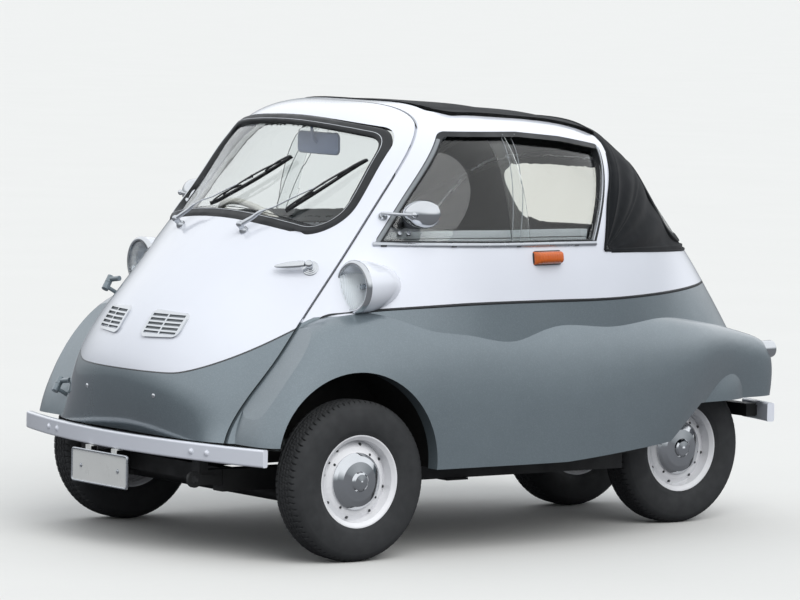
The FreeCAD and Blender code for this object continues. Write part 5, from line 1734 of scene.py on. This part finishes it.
# ---------------- folding top
@dataclass
class FoldingTop:
    """The cloth top: a roof sheet, a back sheet with its window, bows, piping and hem.

    Attributes:
        foot: The pillar base (x, z) in millimetres, where the back sheet's folds meet.
        hoop: The bright inner hoop's left half (x, y, z), foot to crown.
        pillar: The back sheet's front edge from the side, foot to roof.
        bows: Angles of the bows under the back sheet from upright about the foot, degrees.
        last: Angle of its hem.
        window: Corners of the back window (y, z).
        window_radii: Their radii.
        roof_ends: x of the roof sheet's front and rear edge.
        roof_half: Half its width at places along the roof, (x, half width).
        cloth: Thickness of the sheets, metres.
    """

    foot: Pair = (-187.0, 893.0)
    hoop: tuple[Spot, ...] = (
        (-352, 526, 925), (-378, 498, 962), (-408, 470, 1014), (-437, 416, 1073), (-461, 360, 1112),
        (-484, 312, 1132), (-522, 238, 1142), (-550, 155, 1146), (-560, 60, 1149))
    pillar: tuple[Pair, ...] = ((-187, 893), (-222, 1038), (-300, 1169), (-330, 1235), (-330, 1400))
    bows: Pair = (30.0, 54.0)
    last: float = 92.6
    window: tuple[Pair, ...] = ((-381, 904), (381, 904), (372, 1128), (-372, 1128))
    window_radii: tuple[float, ...] = (45, 45, 95, 95)
    roof_ends: Pair = (322.0, -338.0)
    roof_half: tuple[Pair, ...] = ((-420, 376), (-170, 376), (0, 382), (262, 408), (318, 352))
    cloth: float = 0.0018

    def fan(self, angle: Array, swing: Array) -> Met:
        """Where the fan's rays meet the top.

        Formula: a ray leaves the foot's line in the plane leaned back by angle, turned by
        swing from the car's left over the top to its right.

        Args:
            angle: Degrees from upright, one for each row, or one for each row and column.
            swing: Radians, one for each column.

        Returns:
            A grid of points, and the rays' outward directions.
        """
        a, s = np.radians(angle if angle.ndim == 2 else angle[:, None]), swing[None]
        way = np.stack((-np.sin(a) * np.sin(s), np.cos(s) + a * 0, np.cos(a) * np.sin(s)), -1)
        foot = place(self.foot[0], 0, self.foot[1])
        flat = way.reshape(-1, 3)
        spots, _ = HOOD_SKIN.drop(foot + flat * 2.0, -flat)
        return spots.reshape(way.shape), way

    def front_angles(self, swing: Array) -> Array:
        """The fan's angle at the back sheet's front edge, for each swing, in degrees.

        Formula: the angle whose ray meets the top on the pillar's line, found by taking
        the line's own angle at the height met, five times.
        """
        x, z = np.array(self.pillar, float).T
        angle = np.full(len(swing), 15.0)
        for _ in range(5):
            met = self.fan(angle[None], swing)[0][0, :, 2] * 1000
            angle = np.degrees(np.arctan2(self.foot[0] - np.interp(met, z, x),
                                          np.maximum(met - self.foot[1], 5.0)))
        return evened(angle, 2)

    def closed_cloth(self, outside: Array, out: Array, keep: Array | None = None) -> list[Patch]:
        """Both faces of a sheet and its edges, with the cloth's own directions.

        Args:
            outside: The outer face's points.
            out: Outward directions.
            keep: Mask of the faces that are made.

        Returns:
            The sheet's surfaces.
        """
        inside = outside - out * self.cloth
        across = np.linalg.norm(np.diff(outside, axis=1, prepend=outside[:, :1]), axis=-1).cumsum(1)
        along = np.linalg.norm(np.diff(outside, axis=0, prepend=outside[:1]), axis=-1).cumsum(0)
        along = np.broadcast_to(along.mean(1, keepdims=True), across.shape)
        cut = np.stack((across - across.mean(1, keepdims=True), along), -1)
        wrap = np.concatenate((outside, inside[::-1]), 0)
        wrap_cut = np.concatenate((cut, cut[::-1]), 0)
        if keep is not None:
            return [Patch(face, keep=keep, sheet_uv=cut) for face in (outside, inside)]
        edges = [Patch(np.stack((outside[:, k], inside[:, k]), 1),
                       sheet_uv=np.stack((cut[:, k], cut[:, k]), 1)) for k in (0, -1)]
        return [Patch(wrap, loop=True, sheet_uv=wrap_cut)] + edges

    def declare(self, sheet: bpy.types.Object, width: float, length: float, area: float) -> None:
        """Says what size a sheet was cut to."""
        log.info("%s cut %.3f x %.3f m, %.3f m2", sheet.name, width, length, area)

    def back_sheet(self) -> None:
        """The back sheet.

        Formula: the fan's surface, raised over two bows by gaussians of the fan's angle,
        drawn in between them, and pleated near the foot by a cosine of the angle whose
        height is a gaussian of the swing.
        """
        swing = np.linspace(0.035, math.pi - 0.035, 61)
        first = self.front_angles(swing) - 0.5
        angle = first + (self.last - first) * np.linspace(0, 1, 27)[:, None]
        spots, ways = self.fan(angle, swing)
        spots = evened(spots, 1)
        rows, columns = 150, 330
        grid, way = refined(spots, rows, columns), unit(refined(ways, rows, columns))
        out = outward(grid, way)
        s = np.linspace(swing[0], swing[-1], columns)[None]
        start = np.interp(s, swing, first)
        a = start + (self.last - start) * np.linspace(0, 1, rows)[:, None]
        side = np.minimum(s, math.pi - s)
        bows = sum(np.exp(-((a - m) / 1.4) ** 2) for m in self.bows) * 0.0032
        between = (a - self.bows[0]) / (self.bows[1] - self.bows[0])
        slack = -0.0045 * (np.cos(between * math.tau) * 0.5 - 0.5) ** 2 * np.clip(side / 0.9, 0, 1)
        pleats = 0.0042 * np.exp(-((side - 0.5) / 0.33) ** 2) * np.cos(np.radians(a - 12) * 20 + side * 2.2)
        lift = bows * np.clip(side / 0.35, 0, 1) + slack + pleats
        edge = np.clip((a - start) / 5, 0, 1) * np.clip((self.last - a) / 4, 0, 1)
        grid = grid + out * (lift * edge + 0.0012)[..., None]
        outline = rounded_outline(self.window, self.window_radii)
        middle = (grid[:-1, :-1] + grid[1:, 1:]) / 2
        y, z = middle[..., 1] * 1000, middle[..., 2] * 1000
        keep = ~((middle[..., 0] < -0.3) & inside_outline(y, z, outline))
        sheet = make_piece("top_back_cloth", self.closed_cloth(grid, out, keep), [HOOD_CLOTH],
                           replaces=["soft_top"], closed=False, sharp=80)
        self.declare(sheet, polyline_length(grid[:, columns // 2]), polyline_length(grid[70]),
                     surface_area(grid, keep))

    def roof_sheet(self) -> None:
        """The roof sheet: the roof's own surface, a little slack between its bows, wrapped over the rails."""
        x = np.linspace(*self.roof_ends, 26)[:, None]
        half = np.interp(x, *np.array(self.roof_half, float).T) + 4
        starts = place(x, half * np.linspace(-1, 1, 33), 1800)
        spots, _ = HOOD_SKIN.drop(starts.reshape(-1, 3), (0, 0, -1))
        rows, columns = 110, 170
        grid = refined(evened(spots.reshape(starts.shape), 1), rows, columns)
        out = outward(grid, np.array((0.0, 0.0, 1.0)))
        u = np.linspace(0, 1, rows)[:, None]
        v = np.abs(np.linspace(-1, 1, columns))[None]
        slack = -0.004 * np.sin(u * math.pi * 3) ** 2 * (1 - v ** 4)
        edge = 0.003 * np.clip((v - 0.93) / 0.07, 0, 1) ** 2
        grid = grid + out * (slack + 0.0028 - edge)[..., None]
        sheet = make_piece("top_roof_cloth", self.closed_cloth(grid, out), [HOOD_CLOTH], sharp=80)
        self.declare(sheet, polyline_length(grid[rows // 2]), polyline_length(grid[:, columns // 2]),
                     surface_area(grid))

    def line_on_fan(self, angle: float | None, lift: float, count: int = 160) -> Met:
        """A line across the top, lifted, and its outward directions.

        Args:
            angle: The fan's angle along it, the front edge's own if None.
            lift: Metres above the top.
            count: Points along it.

        Returns:
            Points and outward directions.
        """
        swing = np.linspace(0.03, math.pi - 0.03, 60)
        angles = self.front_angles(swing) if angle is None else np.full(len(swing), angle)
        spots, ways = self.fan(angles[None], swing)
        path = curve_through(evened(spots[0], 2), count)
        out = unit(curve_through(ways[0], count))
        return path + out * lift, out

    def trimmings(self) -> None:
        """Piping at the bow, hem band with its bead, window binding, and the inner bows with their hoop."""
        patches = [carried(*self.line_on_fan(angle, lift), section)
                   for angle, lift, section in ((None, 0.003, circle(0.0042)),
                                                (self.last - 0.9, 0.0015, bump_section(0.014, 0.0022, 0.003)),
                                                (self.last + 0.8, 0.001, circle(0.0038)))]
        outline = respaced(rounded_outline(self.window, self.window_radii), 110, closed=True)
        path, up = smoothed(*HOOD_SKIN.from_end(outline, 1), (2, 6), 360, closed=True)
        patches.append(carried(path, up, bump_section(0.030, 0.0042, 0.007, 11, 4.0), closed=True))
        make_piece("top_trimmings", patches, [HOOD_CLOTH])
        lines = [self.line_on_fan(angle, -0.020, 90) for angle in self.bows]
        bows = [carried(path[2:-2], out[2:-2], circle(0.0075)) for path, out in lines]
        left = place(*np.array(self.hoop, float).T)
        hoop = curve_through(np.vstack((left, left[::-1] * (1, -1, 1))), 160)
        bows.append(carried(hoop, (1, 0, 0.2), circle(0.0045, 10), finish=1))
        make_piece("top_bows", bows, [BLACK, ALLOY])

    def build(self) -> None:
        """Makes the sheets and their trimmings."""
        self.back_sheet()
        self.roof_sheet()
        self.trimmings()


def outward(grid: Array, rough: Array) -> Array:
    """A surface's own direction at each point, on the side of a rough one.

    Formula: the cross product of the grid's two gradients, its sign from the rough way.

    Args:
        grid: Points.
        rough: Directions that point outwards.

    Returns:
        Unit directions.
    """
    normal = unit(np.cross(np.gradient(grid, axis=0), np.gradient(grid, axis=1)))
    return normal * np.sign((normal * rough).sum(-1, keepdims=True))


def polyline_length(points: Array) -> float:
    """The length of the line through points."""
    return float(np.linalg.norm(np.diff(points, axis=0), axis=1).sum())


def inside_outline(u: Array, v: Array, outline: Array) -> Array:
    """Whether points lie inside a closed outline.

    Formula: a ray to +u crosses the outline's sides an odd number of times.

    Args:
        u: First coordinates.
        v: Second coordinates.
        outline: The outline's corners.

    Returns:
        A mask of the points' shape.
    """
    a, b = outline, np.roll(outline, -1, 0)
    u, v = u[..., None], v[..., None]
    spans = (a[:, 1] > v) != (b[:, 1] > v)
    rise = np.where(b[:, 1] == a[:, 1], 1e-9, b[:, 1] - a[:, 1])
    where = (b[:, 0] - a[:, 0]) * (v - a[:, 1]) / rise + a[:, 0]
    return (spans & (u < where)).sum(-1) % 2 == 1


def surface_area(grid: Array, keep: Array | None = None) -> float:
    """The area of a grid's faces: half the length of the cross product of their diagonals."""
    one, two = grid[1:, 1:] - grid[:-1, :-1], grid[1:, :-1] - grid[:-1, 1:]
    areas = np.linalg.norm(np.cross(one, two), axis=-1) / 2
    return float(areas[keep].sum() if keep is not None else areas.sum())


# ---------------- bench and inner mirror
@dataclass
class Bench:
    """The bench's two padded pieces, filled by simulation.

    Attributes:
        fill: How tight they are; not used.
        pressure: The simulation's pressure.
        travel: The most that a point may move, metres.
        inset: Share of the travel that a piece starts inside its solid.
        voxel: Size of the evened mesh's faces, metres.
        lean: Degrees that the backrest leans back.
        back: Height and thickness of the backrest, metres.
    """

    fill: float = 0.8
    pressure: float = 4.0
    travel: float = 0.012
    inset: float = 0.7
    voxel: float = 0.006
    lean: float = 12.0
    back: Pair = (0.370, 0.09)

    def block(self, low: Vector, high: Vector, lean: float, name: str) -> bpy.types.Object:
        """A rounded block a little smaller than its CAD solid.

        Formula: a superellipsoid, |x|^7 + |y|^7 + |z|^7 = 1, stretched between the corners
        and leaned back about its lower rear edge.

        Args:
            low: Lowest corner of the upright block.
            high: Highest corner.
            lean: Degrees that it leans back.
            name: The piece's name.

        Returns:
            The object.
        """
        u = np.linspace(-math.pi / 2, math.pi / 2, 48)[:, None]
        v = (np.arange(96) * math.tau / 96)[None]
        cos_u, sin_u, cos_v, sin_v = (signed_power(wave, 2 / 7) for wave in (np.cos(u), np.sin(u), np.cos(v),
                                                                              np.sin(v)))
        ball = np.stack((cos_u * cos_v, cos_u * sin_v, sin_u + v * 0), -1)
        middle, half = (np.array(low) + np.array(high)) / 2, (np.array(high) - np.array(low)) / 2
        points = middle + ball * half
        turn = math.radians(lean)
        pivot = np.array((low.x, 0, low.z))
        rel = points - pivot
        points = pivot + np.stack((rel[..., 0] * math.cos(turn) - rel[..., 2] * math.sin(turn), rel[..., 1],
                                   rel[..., 0] * math.sin(turn) + rel[..., 2] * math.cos(turn)), -1)
        return make_piece(name, [Patch(points, ring=True)], [LEATHERCLOTH])

    def swell(self, obj: bpy.types.Object) -> None:
        """Fills the piece by cloth simulation under pressure, its points' travel capped.

        Args:
            obj: The piece, changed in place.
        """
        remesh = obj.modifiers.new("even", "REMESH")
        remesh.mode, remesh.voxel_size = "VOXEL", self.voxel
        obj.data = bake_modifiers(obj)
        rest = np.empty(len(obj.data.vertices) * 3)
        obj.data.vertices.foreach_get("co", rest)
        rest = rest.reshape(-1, 3)
        cloth = obj.modifiers.new("fill", "CLOTH")
        cloth.settings.use_pressure = True
        cloth.settings.uniform_pressure_force = self.pressure
        cloth.settings.effector_weights.gravity = 0
        scene = bpy.context.scene
        for step in range(1, 21):
            scene.frame_set(step)
        mesh = bake_modifiers(obj)
        scene.frame_set(1)
        now = np.empty(len(mesh.vertices) * 3)
        mesh.vertices.foreach_get("co", now)
        move = now.reshape(-1, 3) - rest
        length = np.linalg.norm(move, axis=1, keepdims=True)
        now = rest + move * np.minimum(1, self.travel / np.maximum(length, 1e-9))
        mesh.vertices.foreach_set("co", now.ravel())
        obj.data = mesh
        obj.data.shade_smooth()

    def build(self) -> None:
        """Makes and fills both pieces."""
        for node, name, lean in (("seat_cushion", "bench_cushion", 0.0),
                                 ("seat_backrest", "bench_backrest", self.lean)):
            low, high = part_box(node)
            if lean:
                tall, thick = self.back
                foot = low.x + tall * math.sin(math.radians(lean))
                low, high = Vector((foot, low.y, low.z)), Vector((foot + thick, high.y, low.z + tall))
            inset = Vector((self.travel * self.inset,) * 3)
            obj = self.block(low + inset, high - inset, lean, name)
            self.swell(obj)
            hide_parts(node)


def bake_modifiers(obj: bpy.types.Object) -> bpy.types.Mesh:
    """The object's mesh with its modifiers applied, and the modifiers taken off."""
    graph = bpy.context.evaluated_depsgraph_get()
    mesh = bpy.data.meshes.new_from_object(obj.evaluated_get(graph))
    obj.modifiers.clear()
    return mesh


@dataclass
class InnerMirror:
    """The interior mirror: a rounded plate on a stalk from the header.

    Attributes:
        middle: The plate's middle, millimetres.
        size: Half its width and half its height, metres.
        corner: Radius of its corners.
    """

    middle: Spot = (480.0, 36.0, 1198.0)
    size: Pair = (0.105, 0.034)
    corner: float = 0.018

    def build(self) -> None:
        """Makes the plate and the stalk."""
        middle, (y, z) = place(*self.middle), self.size
        outline = rounded_outline(((-y, -z), (y, -z), (y, z), (-y, z)), self.corner)
        rows = [middle + np.column_stack((np.full(len(outline), off), outline * size))
                for size, off in ((0.90, 0.009), (1.0, 0.004), (1.0, -0.004), (0.93, -0.006))]
        knots = middle + np.array(((0.006, 0, 0.0), (0.022, 0, 0.02), (0.03, 0, 0.07)))
        make_piece("inner_mirror", [Patch(np.stack(rows), ring=True, caps=True),
                                    carried(curve_through(knots, 20), (0, 1, 0), circle(0.0045))],
                   [MIRROR_BACK])


# Surfaces that several classes drop their lines onto.
PANELS = ["left_upper_side", "right_upper_side", "left_wing", "right_wing"]
BODY_SKIN = Skin(PANELS + ["rear_deck", "tail_panel"])
DOOR_SKIN = Skin(["door_shell", "windscreen_seal", "windscreen"])
VENT_SKIN = Skin(["door_shell"])
EDGE_SKIN = Skin(PANELS + ["roof_header"])
SIDE_SKIN = Skin(PANELS + ["window_rails", "side_glass"])
HOOD_SKIN = Skin(["soft_top", "rear_window"])


def main() -> None:
    """Builds the car's looks in order, and writes how large they came out."""
    logging.basicConfig(level=logging.INFO, format="%(message)s")
    Viewpoint().build()
    Studio().build()
    Bodywork().build()
    WindscreenSurround().build()
    DoorSealAndGapShade().build()
    for side in Side:
        for part in (SideWindow, Headlamp, DoorMirror, SideIndicator, TailLamp):
            part(side).build()
    WiperArms().build()
    DoorFurniture().build()
    BumperFittings().build()
    WheelSet("front_left", Body.FRONT_LEFT, "front_left_tyre", "front_left_rim", (Side.LEFT,)).build()
    WheelSet("front_right", Body.FRONT_RIGHT, "front_right_tyre", "front_right_rim", (Side.RIGHT,)).build()
    WheelSet("rear", Body.REAR, "rear_tyres", "rear_rims", (Side.LEFT, Side.RIGHT)).build()
    FoldingTop().build()
    Bench().build()
    InnerMirror().build()


if __name__ == "__main__":
    main()
